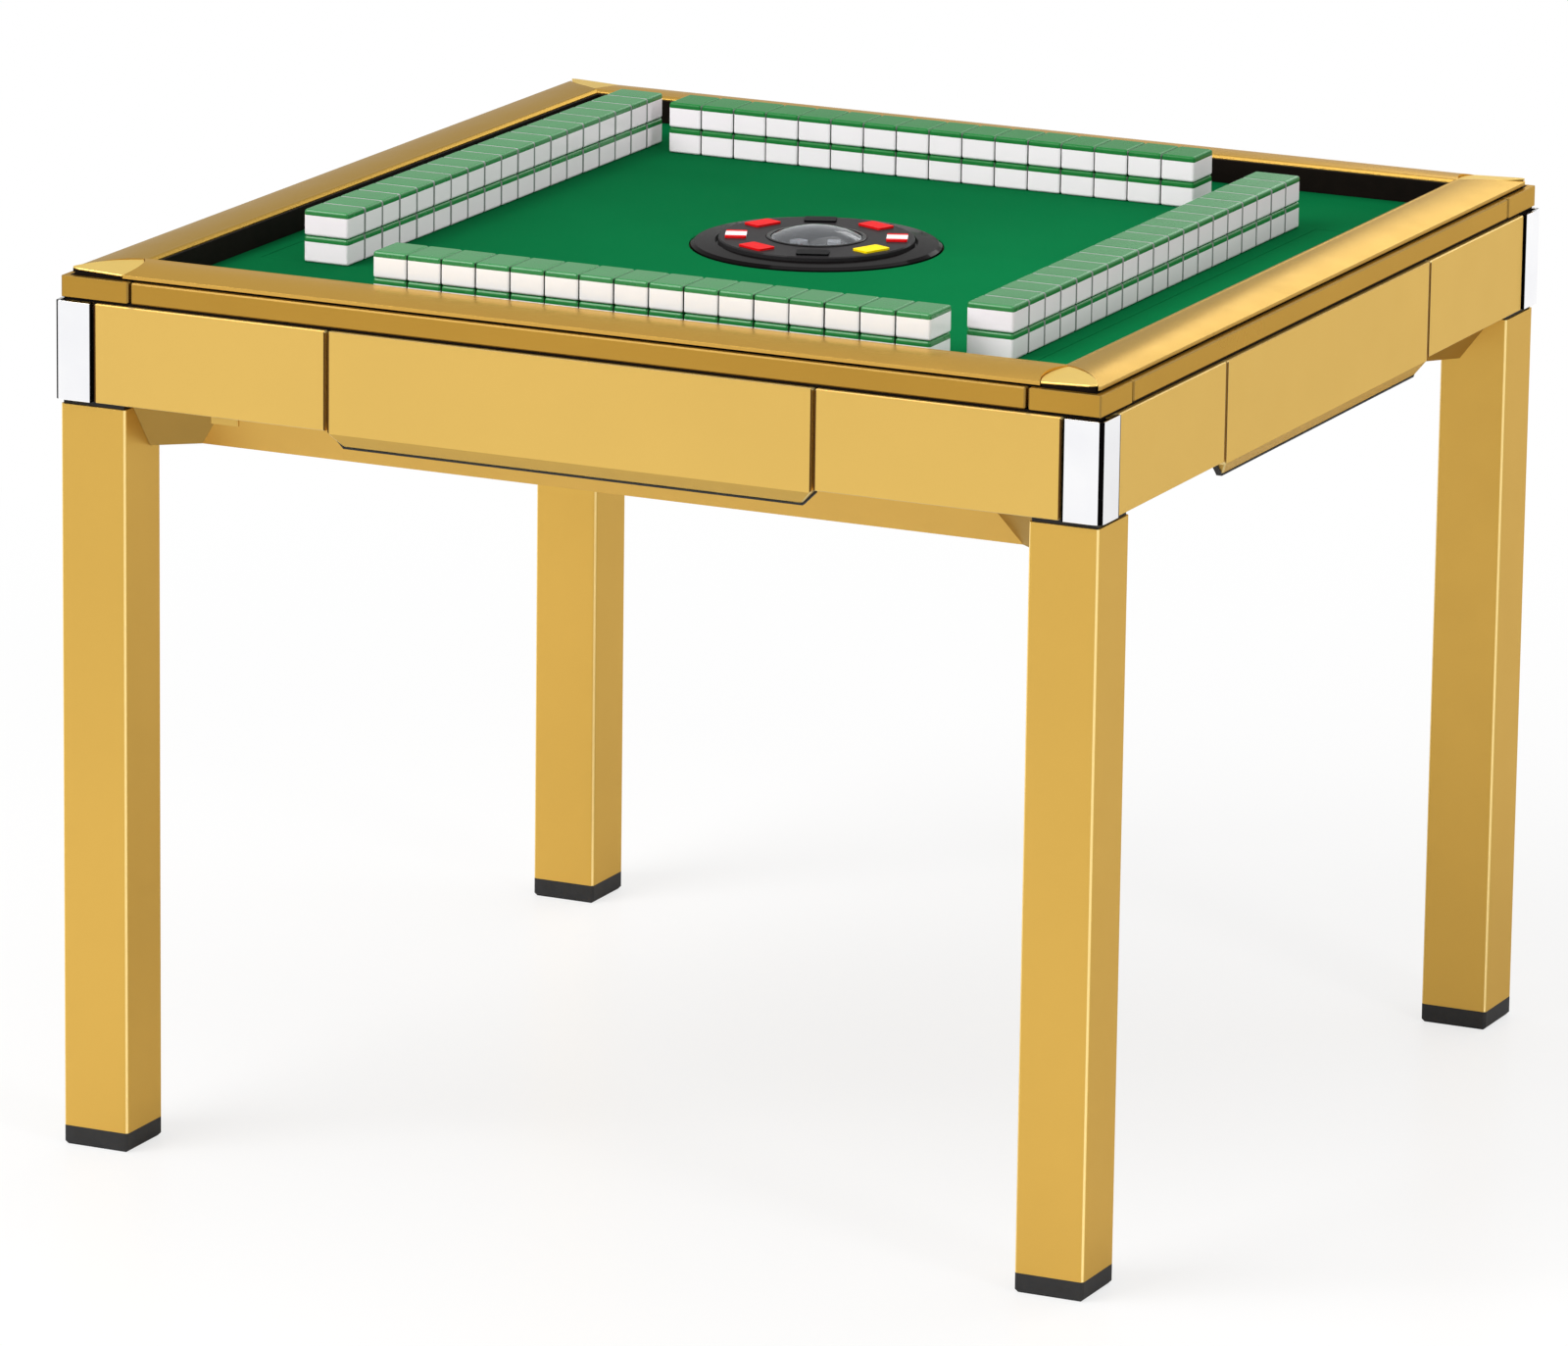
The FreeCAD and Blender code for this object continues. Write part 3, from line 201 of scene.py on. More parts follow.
class Surface:
    """A Principled material, with 3-D noise in the object's own metres for its colour and relief."""

    def __init__(self, name, roughness, metallic=0.0, specular=0.5, coat=0.0, coat_roughness=0.1, ior=1.5):
        self.material = bpy.data.materials.new(name)
        self.material.use_nodes = True
        self.nodes = self.material.node_tree.nodes
        self.links = self.material.node_tree.links
        self.shader = self.nodes["Principled BSDF"]
        self.shader.inputs["Roughness"].default_value = roughness
        self.shader.inputs["Metallic"].default_value = metallic
        self.shader.inputs["Specular IOR Level"].default_value = specular
        self.shader.inputs["Coat Weight"].default_value = coat
        self.shader.inputs["Coat Roughness"].default_value = coat_roughness
        self.shader.inputs["IOR"].default_value = ior
        self.place = self.nodes.new("ShaderNodeTexCoord").outputs["Object"]

    def feed(self, socket, value):
        """Sets a socket to a constant, or links it to the output of another node."""
        if isinstance(value, (float, int, tuple)):
            socket.default_value = value
        else:
            self.links.new(value, socket)

    def noise(self, scale, detail=3.0, stretch=None):
        """Noise with features of about 1/scale metres, finer along an axis where stretch is large."""
        node = self.nodes.new("ShaderNodeTexNoise")
        node.inputs["Scale"].default_value = scale
        node.inputs["Detail"].default_value = detail
        source = self.place
        if stretch:
            mapping = self.nodes.new("ShaderNodeMapping")
            mapping.inputs["Scale"].default_value = stretch
            self.links.new(self.place, mapping.inputs["Vector"])
            source = mapping.outputs["Vector"]
        self.links.new(source, node.inputs["Vector"])
        return node.outputs["Fac"]

    def ramp(self, factor, first, second, margin=0.3):
        """Runs from the first colour to the second while factor runs from margin to 1 - margin."""
        node = self.nodes.new("ShaderNodeValToRGB")
        elements = node.color_ramp.elements
        elements[0].position = margin
        elements[0].color = first
        elements[1].position = 1 - margin
        elements[1].color = second
        self.links.new(factor, node.inputs["Fac"])
        return node.outputs["Color"]

    def vary(self, colour, low, high, scale, detail=3.0, stretch=None, margin=0.3):
        """The colour, scaled by noise between the factors low and high."""
        factor = self.noise(scale, detail, stretch)
        return self.ramp(factor, scaled(colour, low), scaled(colour, high), margin)

    def mix(self, factor, first, second, blend="MIX"):
        node = self.nodes.new("ShaderNodeMix")
        node.data_type = "RGBA"
        node.blend_type = blend
        self.feed(node.inputs[0], factor)
        self.feed(node.inputs[6], first)
        self.feed(node.inputs[7], second)
        return node.outputs[2]

    def math(self, operation, *values):
        node = self.nodes.new("ShaderNodeMath")
        node.operation = operation
        for socket, value in zip(node.inputs, values):
            self.feed(socket, value)
        return node.outputs[0]

    def smaller(self, first, second):
        """The smaller of two values, both without their signs."""
        return self.math("MINIMUM", self.math("ABSOLUTE", first), self.math("ABSOLUTE", second))

    def map_range(self, value, start, end, low=0.0, high=1.0, smooth=False):
        """Runs from low to high while value runs from start to end."""
        node = self.nodes.new("ShaderNodeMapRange")
        if smooth:
            node.interpolation_type = "SMOOTHSTEP"
        for name, limit in (("From Min", start), ("From Max", end), ("To Min", low), ("To Max", high)):
            node.inputs[name].default_value = limit
        self.links.new(value, node.inputs["Value"])
        return node.outputs["Result"]

    def distance(self, place):
        """The distance from a place to the shaded point."""
        node = self.nodes.new("ShaderNodeVectorMath")
        node.operation = "DISTANCE"
        self.links.new(self.place, node.inputs[0])
        node.inputs[1].default_value = place
        return node.outputs["Value"]

    def axes(self, vector):
        """The x, y and z of a vector."""
        node = self.nodes.new("ShaderNodeSeparateXYZ")
        self.links.new(vector, node.inputs[0])
        return node.outputs

    def facing(self):
        """The x, y and z of the way a face points."""
        return self.axes(self.nodes.new("ShaderNodeNewGeometry").outputs["True Normal"])

    def colour(self, output):
        self.links.new(output, self.shader.inputs["Base Color"])

    def mottle(self, colour, spread, scale, detail=3.0, stretch=None):
        """Base colour that varies by spread either side of colour."""
        self.colour(self.vary(colour, 1 - spread, 1 + spread, scale, detail, stretch))

    def polish(self, low, high, scale):
        """Roughness that wanders between low and high."""
        rough = self.map_range(self.noise(scale), 0.3, 0.7, low, high)
        self.links.new(rough, self.shader.inputs["Roughness"])

    def relief(self, scale, depth, detail=2.0, stretch=None):
        """Bump from noise, up to depth metres high."""
        bump = self.nodes.new("ShaderNodeBump")
        bump.inputs["Distance"].default_value = depth
        self.links.new(self.noise(scale, detail, stretch), bump.inputs["Height"])
        self.links.new(bump.outputs["Normal"], self.shader.inputs["Normal"])


GOLD_EDGE = (1.0, 0.85, 0.54, 1)        # tint of gold seen at a shallow angle
TRIM_SEAM_DEPTH = 1.1 * MM              # of the chamfers between two corner blocks
CHROME_DARK_REFLECTION = 3.4 * MM                  # width of the painted dark reflection down the corner
CHROME_SEAM_SHADE = 1.3 * MM                  # width of the painted seam shade by the apron
BRUSHED = (1, 12, 12)                   # stretch of the grain of a plate brushed along x
# Middle of the pool of light painted on the felt.
FELT_LIGHT_POOL_MIDDLE = (0.3, -0.12, FELT_TOP)
KEY_WHITE_HALF = 7.5 * MM               # half the length of the white middle of a key
RING_ROUGHNESS = 0.14
DISC_ROUGHNESS = 0.32


def gold_surface(name, roughness, metallic):
    surface = Surface(name, roughness, metallic, specular=0.25)
    surface.shader.inputs["Specular Tint"].default_value = GOLD_EDGE
    return surface


def corner_highlight_mask(surface, facing):
    """1 on an upright rounded corner, which takes a painted highlight."""
    return surface.math("GREATER_THAN", surface.smaller(facing[0], facing[1]), 0.4)


def upright_shade_mask(surface, facing):
    """1 on an upright face, such as the chamfers beside a seam, which take painted shade."""
    return surface.math("LESS_THAN", surface.math("ABSOLUTE", facing[2]), 0.2)


def satin_gold(name, colour, roughness, metallic=0.7, under=0.72, flake=0.04,
               painted_light=None, painted_light_colour=None):
    """Gold metallic paint: fine flake and soft clouds, with painted shade where it faces down, darker by
    the factor under.

    It shows a painted highlight or painted shade, in the colour given with it, where the mask function
    given with it says so.
    """
    surface = gold_surface(name, roughness, metallic)
    flakes = surface.vary(colour, 1 - flake, 1 + flake, scale=2600, detail=1.0, margin=0.35)
    clouds = surface.vary(colour, 0.965, 1.03, scale=5, detail=2.0)
    paint = surface.mix(0.5, flakes, clouds)
    facing = surface.facing()
    # Painted highlight or painted shade where the mask says so.
    if painted_light:
        paint = surface.mix(painted_light(surface, facing), paint, painted_light_colour)
    # Painted shade: faces turned downwards go darker, by the factor under, in soft clouds.
    painted_shade_cloud = surface.vary(colour, under * 0.9, under, scale=70, detail=2.0)
    painted_shade = surface.mix(0.25, scaled(colour, under), painted_shade_cloud)
    turned = surface.map_range(facing[2], start=-0.2, end=-0.5)
    surface.colour(surface.mix(turned, paint, painted_shade))
    surface.polish(roughness - 0.02, roughness + 0.02, scale=25)
    return surface.material


def rail_gold(side, colour):
    """The smoother gold of the rails."""
    return satin_gold("gold_rail_" + side, colour, roughness=0.25, metallic=0.85, flake=0)


def trim_gold():
    """Trim gold with the dark seam where two corner blocks meet."""
    surface = gold_surface("gold_trim", roughness=0.28, metallic=0.85)
    x, y, _ = surface.axes(surface.place)
    seam = surface.math("GREATER_THAN", surface.smaller(x, y), TRIM_FACE - TRIM_SEAM_DEPTH)
    clouds = surface.vary(linear(186, 142, 58), 0.96, 1.04, scale=6, detail=2.0)
    surface.colour(surface.mix(seam, clouds, linear(14, 9, 6)))
    surface.polish(0.27, 0.3, scale=9)
    return surface.material


def black_rubber():
    surface = Surface("black_rubber", roughness=0.62)
    surface.mottle(linear(22, 22, 23), spread=0.25, scale=120)
    surface.relief(scale=900, depth=0.08 * MM)
    return surface.material


def plated_steel():
    surface = Surface("plated_steel", roughness=0.42, metallic=0.9)
    surface.mottle(linear(150, 152, 156), spread=0.08, scale=60, detail=4.0)
    surface.polish(0.34, 0.5, scale=25)
    surface.relief(scale=700, depth=0.02 * MM)
    return surface.material


def black_steel():
    surface = Surface("black_steel", roughness=0.5, metallic=0.1)
    surface.mottle(linear(18, 18, 19), spread=0.2, scale=80)
    surface.relief(scale=1400, depth=0.04 * MM)
    return surface.material


def seam_black():
    """Black for the rail linings, and for the sheets, blocks and strips that stand for shadow in the
    shadow lines: painted shadow.
    """
    surface = Surface("seam_black", roughness=0.6, specular=0.08)
    surface.mottle(linear(15, 8, 5), spread=0.2, scale=80)
    surface.relief(scale=1400, depth=0.04 * MM)
    return surface.material


def chrome():
    """Polished chrome with a painted dark reflection down the outer corner and painted seam shade by the
    apron.
    """
    surface = Surface("chrome", roughness=0.08, metallic=1.0)
    x, y, _ = surface.axes(surface.place)
    outwards = surface.smaller(x, y)
    # Painted dark reflection down the corner, and painted shade of the seam by the apron.
    dark_reflection = surface.math("GREATER_THAN", outwards, POST_FACE - CHROME_DARK_REFLECTION)
    apron_seam_shade = surface.math("LESS_THAN", outwards, POST_FACE - POST_FLANGE + CHROME_SEAM_SHADE)
    black = surface.math("MAXIMUM", dark_reflection, apron_seam_shade)
    silver = surface.ramp(surface.noise(30, detail=2.0), linear(245, 245, 248), linear(252, 252, 253))
    surface.colour(surface.mix(black, silver, linear(8, 7, 7)))
    surface.polish(0.06, 0.12, scale=60)
    return surface.material


def tray_plastic():
    surface = Surface("tray_plastic", roughness=0.5)
    surface.mottle(linear(44, 45, 48), spread=0.12, scale=200)
    surface.relief(scale=1600, depth=0.08 * MM)
    return surface.material


def raw_board():
    surface = Surface("raw_board", roughness=0.8)
    surface.mottle(linear(176, 142, 100), spread=0.18, scale=300, detail=4.0)
    surface.relief(scale=900, depth=0.1 * MM)
    return surface.material


def green_felt():
    """Short green nap: fine fibre noise over soft patches, with a painted pool of light to the right of
    the console.
    """
    base = linear(6, 101, 55)
    surface = Surface("green_felt", roughness=0.95, specular=0.01)
    fibre = surface.vary(base, 0.78, 1.2, scale=1500, margin=0.25)
    patch = surface.vary(base, 0.94, 1.07, scale=9)
    nap = surface.mix(0.5, fibre, patch)
    # Painted light: lighter near the middle of the pool, darker away from it.
    away = surface.distance(FELT_LIGHT_POOL_MIDDLE)
    painted_light_pool = surface.map_range(away, start=0.08, end=0.7, low=1.14, high=0.74, smooth=True)
    drift = surface.math("MULTIPLY_ADD", surface.noise(3.1, detail=1.0), 0.16, -0.08)
    tone = surface.math("ADD", painted_light_pool, drift)
    grey = surface.nodes.new("ShaderNodeCombineColor")
    for channel in grey.inputs:
        surface.links.new(tone, channel)
    surface.colour(surface.mix(1.0, nap, grey.outputs[0], blend="MULTIPLY"))
    surface.relief(scale=1900, depth=0.25 * MM, detail=3.0)
    return surface.material


def console_cover():
    """Gloss black ring and groove round a dark grey raised disc."""
    surface = Surface("console_cover", RING_ROUGHNESS, specular=0.012, coat=0.1, coat_roughness=0.05)
    x, y, _ = surface.axes(surface.place)
    squares = surface.math("ADD", surface.math("MULTIPLY", x, x), surface.math("MULTIPLY", y, y))
    radius = surface.math("SQRT", squares)
    on_disc = surface.math("LESS_THAN", radius, CONSOLE_DISC_RADIUS + 0.2 * MM)
    grain = surface.noise(1200, detail=2.0)
    ring = surface.ramp(grain, linear(9, 7, 7), linear(15, 12, 12))
    disc = surface.ramp(grain, linear(36, 35, 36), linear(46, 44, 45))
    surface.colour(surface.mix(on_disc, ring, disc))
    rough = surface.math("MULTIPLY_ADD", on_disc, DISC_ROUGHNESS - RING_ROUGHNESS, RING_ROUGHNESS)
    surface.links.new(rough, surface.shader.inputs["Roughness"])
    return surface.material


def machine_plastic():
    surface = Surface("machine_plastic", roughness=0.45)
    surface.mottle(linear(120, 122, 126), spread=0.08, scale=90)
    surface.relief(scale=900, depth=0.06 * MM)
    return surface.material


def key_plastic(name, colour):
    surface = Surface(name, roughness=0.3, specular=0.02)
    surface.mottle(colour, spread=0.05, scale=300)
    surface.relief(scale=500, depth=0.01 * MM)
    return surface.material


def two_tone_key(side):
    """White key with red ends, split along its own length."""
    low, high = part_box("console_key_" + side)
    middle = (low + high) / 2
    along = Vector((-middle.y, middle.x, 0)).normalized()
    surface = Surface("key_two_tone_" + side, roughness=0.3, specular=0.02)
    x, y, _ = surface.axes(surface.place)
    offset_x = surface.math("MULTIPLY", surface.math("SUBTRACT", x, middle.x), along.x)
    offset_y = surface.math("MULTIPLY", surface.math("SUBTRACT", y, middle.y), along.y)
    reach = surface.math("ABSOLUTE", surface.math("ADD", offset_x, offset_y))
    at_end = surface.math("GREATER_THAN", reach, KEY_WHITE_HALF)
    grain = surface.noise(300)
    white = surface.ramp(grain, linear(240, 226, 228), linear(250, 240, 241))
    red = surface.ramp(grain, scaled(RED, 0.95), scaled(RED, 1.05))
    surface.colour(surface.mix(at_end, white, red))
    return surface.material


def tile_white(name, colour):
    surface = Surface(name, roughness=0.24, specular=0.4)
    surface.mottle(colour, spread=0.01, scale=40)
    surface.polish(0.22, 0.27, scale=30)
    return surface.material


def tile_green(name, colour, specular):
    surface = Surface(name, roughness=0.26, specular=specular)
    surface.mottle(colour, spread=0.04, scale=60)
    surface.polish(0.24, 0.29, scale=30)
    return surface.material


def tile_joint_shade(name, colour):
    """Resin with painted shade, for the faces deep in the joints between neighbouring tiles."""
    surface = Surface(name, roughness=0.6)
    surface.mottle(colour, spread=0.1, scale=60)
    return surface.material


def clear_cover():
    surface = Surface("clear_cover", roughness=0.04, ior=1.2)
    surface.shader.inputs["Transmission Weight"].default_value = 0.9
    surface.mottle(linear(184, 187, 191), spread=0.02, scale=40)
    return surface.material


def circuit_board():
    surface = Surface("circuit_board", roughness=0.35)
    surface.mottle(linear(16, 78, 40), spread=0.2, scale=350, detail=4.0)
    surface.relief(scale=600, depth=0.05 * MM)
    return surface.material


def gloss_black():
    surface = Surface("gloss_black", roughness=0.2, specular=0.12, coat=0.08, coat_roughness=0.06)
    surface.mottle(linear(13, 12, 13), spread=0.25, scale=150)
    surface.relief(scale=400, depth=0.01 * MM)
    return surface.material


def brushed_plate():
    surface = Surface("brushed_plate", roughness=0.35, metallic=0.95)
    surface.mottle(linear(182, 184, 186), spread=0.06, scale=300, detail=2.0, stretch=BRUSHED)
    surface.relief(scale=500, depth=0.02 * MM, stretch=BRUSHED)
    return surface.material


RED = linear(212, 14, 20)
BLACK_RUBBER = black_rubber()
GREEN_FELT = green_felt()
GLOSS_BLACK = gloss_black()
KEY_RED = key_plastic("key_red", RED)
TILE_WHITE = tile_white("tile_white", linear(244, 243, 243))
# Tile white painted a little pinker against the green bounce light on the walls further in.
BOUNCE_TINTED_WHITE = tile_white("tile_white_inner", linear(251, 241, 247))
TILE_GREEN = tile_green("tile_green", linear(32, 122, 58), specular=0.5)
# A darker, less glossy copy of the tile green for the back wall alone: painted shade.
BACK_WALL_SHADED_GREEN = tile_green("tile_green_back_shaded", linear(28, 114, 51), specular=0.12)
# Painted shade in the tile joints: darker at the front wall, lighter at the walls further in.
TILE_JOINT_SHADE = tile_joint_shade("tile_joint_shade", linear(46, 56, 48))
WALL_JOINT_SHADE = tile_joint_shade("tile_joint_inner", linear(138, 142, 139))
# Black of the rail linings and of the pieces that stand for shadow in the shadow lines.
LINING = seam_black()

# Finishes by material slot.
FINISHES = {
    "gold_tub": satin_gold("gold_tub", linear(238, 192, 98), roughness=0.34, under=0.46),
    # The legs' rounded upright corners take a painted highlight.
    "gold_leg": satin_gold("gold_leg", linear(212, 170, 81), roughness=0.32, painted_light=corner_highlight_mask,
                           painted_light_colour=linear(252, 222, 146)),
    "black_rubber": BLACK_RUBBER,
    "steel": plated_steel(),
    "black_steel": black_steel(),
    "chrome_post": chrome(),
    "gold_panel": satin_gold("gold_panel", linear(222, 183, 96), roughness=0.32),
    "grey_tray": tray_plastic(),
    "gold_trim": trim_gold(),
    "wood_board": raw_board(),
    "green_felt": GREEN_FELT,
    "console_black": console_cover(),
    "machine_grey": machine_plastic(),
    "key_red": KEY_RED,
    "key_black": key_plastic("key_black", linear(9, 9, 10)),
    "key_yellow": key_plastic("key_yellow", linear(246, 214, 10)),
    "clear_cover": clear_cover(),
    "dice_white": TILE_WHITE,
    "lift_plate": brushed_plate(),
    "tile_resin": TILE_WHITE,
    "motor_black": GLOSS_BLACK,
    "wheel_rubber": BLACK_RUBBER,
    "board_green": circuit_board(),
}

# Finishes of single parts, in the slots gold_rail and key_white. The rails' tints stand for the uneven
# light of the photograph.
OWN_FINISHES = {
    "top_rail_front": rail_gold("front", linear(213, 168, 81)),
    "top_rail_right": rail_gold("right", linear(187, 151, 80)),
    "top_rail_back": rail_gold("back", linear(213, 168, 81)),
    "top_rail_left": rail_gold("left", linear(187, 148, 66)),
    "rail_corner_caps": satin_gold("gold_cap", linear(236, 204, 116), roughness=0.36),
    "console_key_e": two_tone_key("e"),
    "console_key_w": two_tone_key("w"),
}

# Gold on the broken edges: a painted highlight, with painted shade on the upright chamfers beside seams,
# and on the trim a darker gold, painted shade that tones its edges down.
EDGE_HIGHLIGHT = satin_gold("gold_edge_highlight", linear(250, 226, 158), roughness=0.32, metallic=0.6,
                         painted_light=upright_shade_mask, painted_light_colour=linear(84, 54, 20))
EDGE_SHADE = satin_gold("gold_edge_shade", linear(150, 118, 56), roughness=0.4, metallic=0.5)
EDGES = {"gold_panel": EDGE_HIGHLIGHT, "gold_leg": EDGE_HIGHLIGHT, "gold_trim": EDGE_SHADE}


# ------------------------------------------------------------- the frame's parts
BEVELLED = {
    "gold_panel": 1.25 * MM,
    "gold_trim": 1.1 * MM,
    "gold_rail": 1.0 * MM,
    "gold_leg": 1.3 * MM,
    "chrome_post": 0.5 * MM,
    "black_rubber": 0.8 * MM,
    "grey_tray": 0.6 * MM,
}
CHAMFERED = ("gold_panel", "gold_trim", "gold_leg")     # flat faces up to one crisp broken edge
WELD_GAP = 0.02 * MM
SHARP_ANGLE = math.radians(40)


def soften(piece, width, crisp, edge=None):
    """Small broken edges on a CAD part, by modifiers that leave its mesh alone."""
    weld = piece.modifiers.new("weld", "WELD")
    weld.merge_threshold = WELD_GAP
    bevel = piece.modifiers.new("soft_edges", "BEVEL")
    bevel.width = width
    bevel.segments = 1 if crisp else 2
    bevel.limit_method = "ANGLE"
    bevel.angle_limit = SHARP_ANGLE
    bevel.use_clamp_overlap = True
    if edge:
        # The new faces of the broken edges take the painted highlight or painted shade.
        piece.data.materials.append(edge)
        bevel.material = 1
    if crisp:
        piece.data.shade_flat()
    else:
        weigh_normals(piece)


def dress_frame():
    for part in frame["record"]["subparts"]:
        node = part["node"]
        slot = part["material_slot"]
        piece = NODES[node]
        piece.data.materials.clear()
        piece.data.materials.append(OWN_FINISHES[node] if node in OWN_FINISHES else FINISHES[slot])
        if slot in BEVELLED:
            soften(piece, BEVELLED[slot], slot in CHAMFERED, EDGES.get(slot))


# ------------------------------------------------------------------------ tiles
TILE_WIDTH = 29.5 * MM
TILE_LENGTH = 39.6 * MM
TILE_THICKNESS = 21.4 * MM
TILE_BACK = 4.6 * MM        # green layer
TILE_ROUND = 2.2 * MM
TILE_PITCH = 30 * MM
TILE_STRAY = 0.1 * MM       # how far a tile lies off its place
LAYERS = 2
LAYER_MARGIN = 1 * MM
JOINT_FACING = 0.85         # faces turned this far towards a neighbour are in its shadow
SIDE_JOINT_FACING = 0.65    # the same at the left and right: more of a tile's round edge counts
WHITE, GREEN, JOINT, LAYER_JOINT = range(4)     # numbers of a wall's materials; the last two are painted joint shade


def tile_template():
    """A tile on its face: white body below, green back on top."""
    bm = rounded_box((TILE_WIDTH, TILE_LENGTH, TILE_THICKNESS), TILE_ROUND)
    joint = TILE_THICKNESS / 2 - TILE_BACK
    geometry = bm.verts[:] + bm.edges[:] + bm.faces[:]
    bmesh.ops.bisect_plane(bm, geom=geometry, plane_co=(0, 0, joint), plane_no=(0, 0, 1))
    for face in bm.faces:
        face.material_index = GREEN if face.calc_center_median().z > joint else WHITE
    return as_mesh(bm, "tile_template")


def shade_joints(bm, low, high, along):
    """Marks the faces that neighbouring tiles keep in shadow, for painted shade."""
    facing = SIDE_JOINT_FACING if along else JOINT_FACING
    first = low[along] + TILE_WIDTH / 4
    last = high[along] - TILE_WIDTH / 4
    upper_layer = (low.z + high.z) / 2 - LAYER_MARGIN
    for face in bm.faces:
        place = face.calc_center_median()
        if abs(face.normal[along]) > facing and first < place[along] < last:
            face.material_index = JOINT
        elif face.normal.z < -JOINT_FACING and place.z > upper_layer:
            face.material_index = LAYER_JOINT


def tile_wall(side, template, random_source):
    node = "tile_wall_" + side
    low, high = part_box(node)
    along = 0 if side in ("front", "back") else 1
    columns = round((high - low)[along] / TILE_PITCH)
    turn = Matrix.Rotation(math.radians(SIDES[side]), 4, "Z")
    centre = (low + high) / 2
    bm = bmesh.new()
    for column in range(columns):
        for layer in range(LAYERS):
            place = centre.copy()
            place[along] += (column - (columns - 1) / 2) * TILE_PITCH
            place.z = low.z + (layer + 0.5) * (high.z - low.z) / LAYERS
            place.x += random_source.uniform(-TILE_STRAY, TILE_STRAY)
            place.y += random_source.uniform(-TILE_STRAY, TILE_STRAY)
            copy_into(bm, template, Matrix.Translation(place) @ turn)
    bm.normal_update()
    shade_joints(bm, low, high, along)
    # The walls further in pick up green bounce light from the open felt round them, so their white is
    # painted a little pinker against it, and their painted joint shade is lighter.
    white, joint = (TILE_WHITE, TILE_JOINT_SHADE) if side == "front" else (BOUNCE_TINTED_WHITE, WALL_JOINT_SHADE)
    # The back wall's green takes painted shade.
    green = BACK_WALL_SHADED_GREEN if side == "back" else TILE_GREEN
    materials = [white, green, joint, TILE_JOINT_SHADE]
    piece = add_piece("tiles_" + side, bm, materials, "wall_" + side)
    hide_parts(node)


# ---------------------------------------------------------- rails, lifts, felt
LINING_THICKNESS = 2 * MM
LINING_TOP_DROP = 3 * MM
LINING_ROUND = 0.5 * MM
# Sizes of the black pieces that stand for shadow in the shadow lines.
SHADOW_PIECE_GAP = 0.05 * MM
SHADOW_SHEET_THICKNESS = 0.3 * MM
SHADOW_SHEET_WALL = 1.5 * MM          # thickness of the upright wall of the black sheet under the rails
SHADOW_SHEET_RISE = 1.65 * MM         # height of that wall
SHADOW_SHEET_EDGE_INSET = 0.6 * MM
APRON_SHADOW_FRONT = 6 * MM     # behind the posts' faces
APRON_SHADOW_BACK = 13 * MM
CAP_SHEET = 1.6 * MM            # from the top of a cap down to the black block under it
PAD_GAP = 0.02 * MM


def rail_lining(side):
    """Black strip along the inner face of a rail, from the felt to the rail's edge."""
    height = RAIL_TOP - LINING_TOP_DROP - FELT_TOP
    length = 2 * (RAIL_INNER - LINING_THICKNESS)
    bm = rounded_box((length, LINING_THICKNESS, height), LINING_ROUND, segments=2)
    y = LINING_THICKNESS / 2 - RAIL_INNER
    bmesh.ops.translate(bm, vec=(0, y, FELT_TOP + height / 2), verts=bm.verts)
    add_piece("rail_lining_" + side, turn_to(bm, side), [LINING], "table")


def rail_shadow_sheet():
    """Black sheet that closes the line between the trim bands and the rails: painted shadow."""
    inner = RAIL_FOOT + SHADOW_PIECE_GAP
    wall = inner + SHADOW_SHEET_WALL
    outer = RAIL_EDGE - SHADOW_SHEET_EDGE_INSET
    sheet = TRIM_TOP + SHADOW_SHEET_THICKNESS
    under = TRIM_TOP + SHADOW_SHEET_RISE
    profile = [(inner, TRIM_TOP), (outer, TRIM_TOP), (outer, sheet),
               (wall, sheet), (wall, under), (inner, under)]
    add_piece("rail_shadow_sheet", square_ring(profile), [LINING], "table", smooth=False)


# Footprint of a black shadow block under a cap in millimetres, at the back right corner: from the seam to
# the rounded corner.
SHADOW_BLOCK_OUTLINE = ((394.8, 432.1), (394.8, 440.2), (434.0, 440.2), (437.0, 439.2), (438.2, 437.4),
                  (436.2, 433.4), (434.5, 432.1))


def cap_shadow_block():
    """Black blocks that fill the open fronts under the corner caps' plates: painted shadow where the caps'
    shadow falls.
    """
    point = Vector((RAIL_INNER + CAP_POINT, RAIL_INNER + CAP_POINT, CAP_TOP))
    seam = Vector((RAIL_EDGE - CAP_LENGTH, RAIL_EDGE, CAP_TOP - CAP_SEAM_DROP))
    corner = Vector((RAIL_EDGE, RAIL_EDGE, CAP_TOP - CAP_CORNER_DROP))
    normal = (seam - point).cross(corner - point)
    low = TRIM_TOP + SHADOW_SHEET_THICKNESS + SHADOW_PIECE_GAP
    bm = bmesh.new()
    for sx, sy in ((1, -1), (-1, -1), (1, 1), (-1, 1)):
        lower, upper = [], []
        for x, y in SHADOW_BLOCK_OUTLINE:
            x, y = x * MM, y * MM
            plate = point.z - (normal.x * (x - point.x) + normal.y * (y - point.y)) / normal.z
            lower.append(bm.verts.new((sx * x, sy * y, low)))
            upper.append(bm.verts.new((sx * x, sy * y, plate - CAP_SHEET)))
        prism(bm, lower, upper)
    bmesh.ops.recalc_face_normals(bm, faces=bm.faces)
    add_piece("cap_shadow_blocks", bm, [LINING], "table", smooth=False)


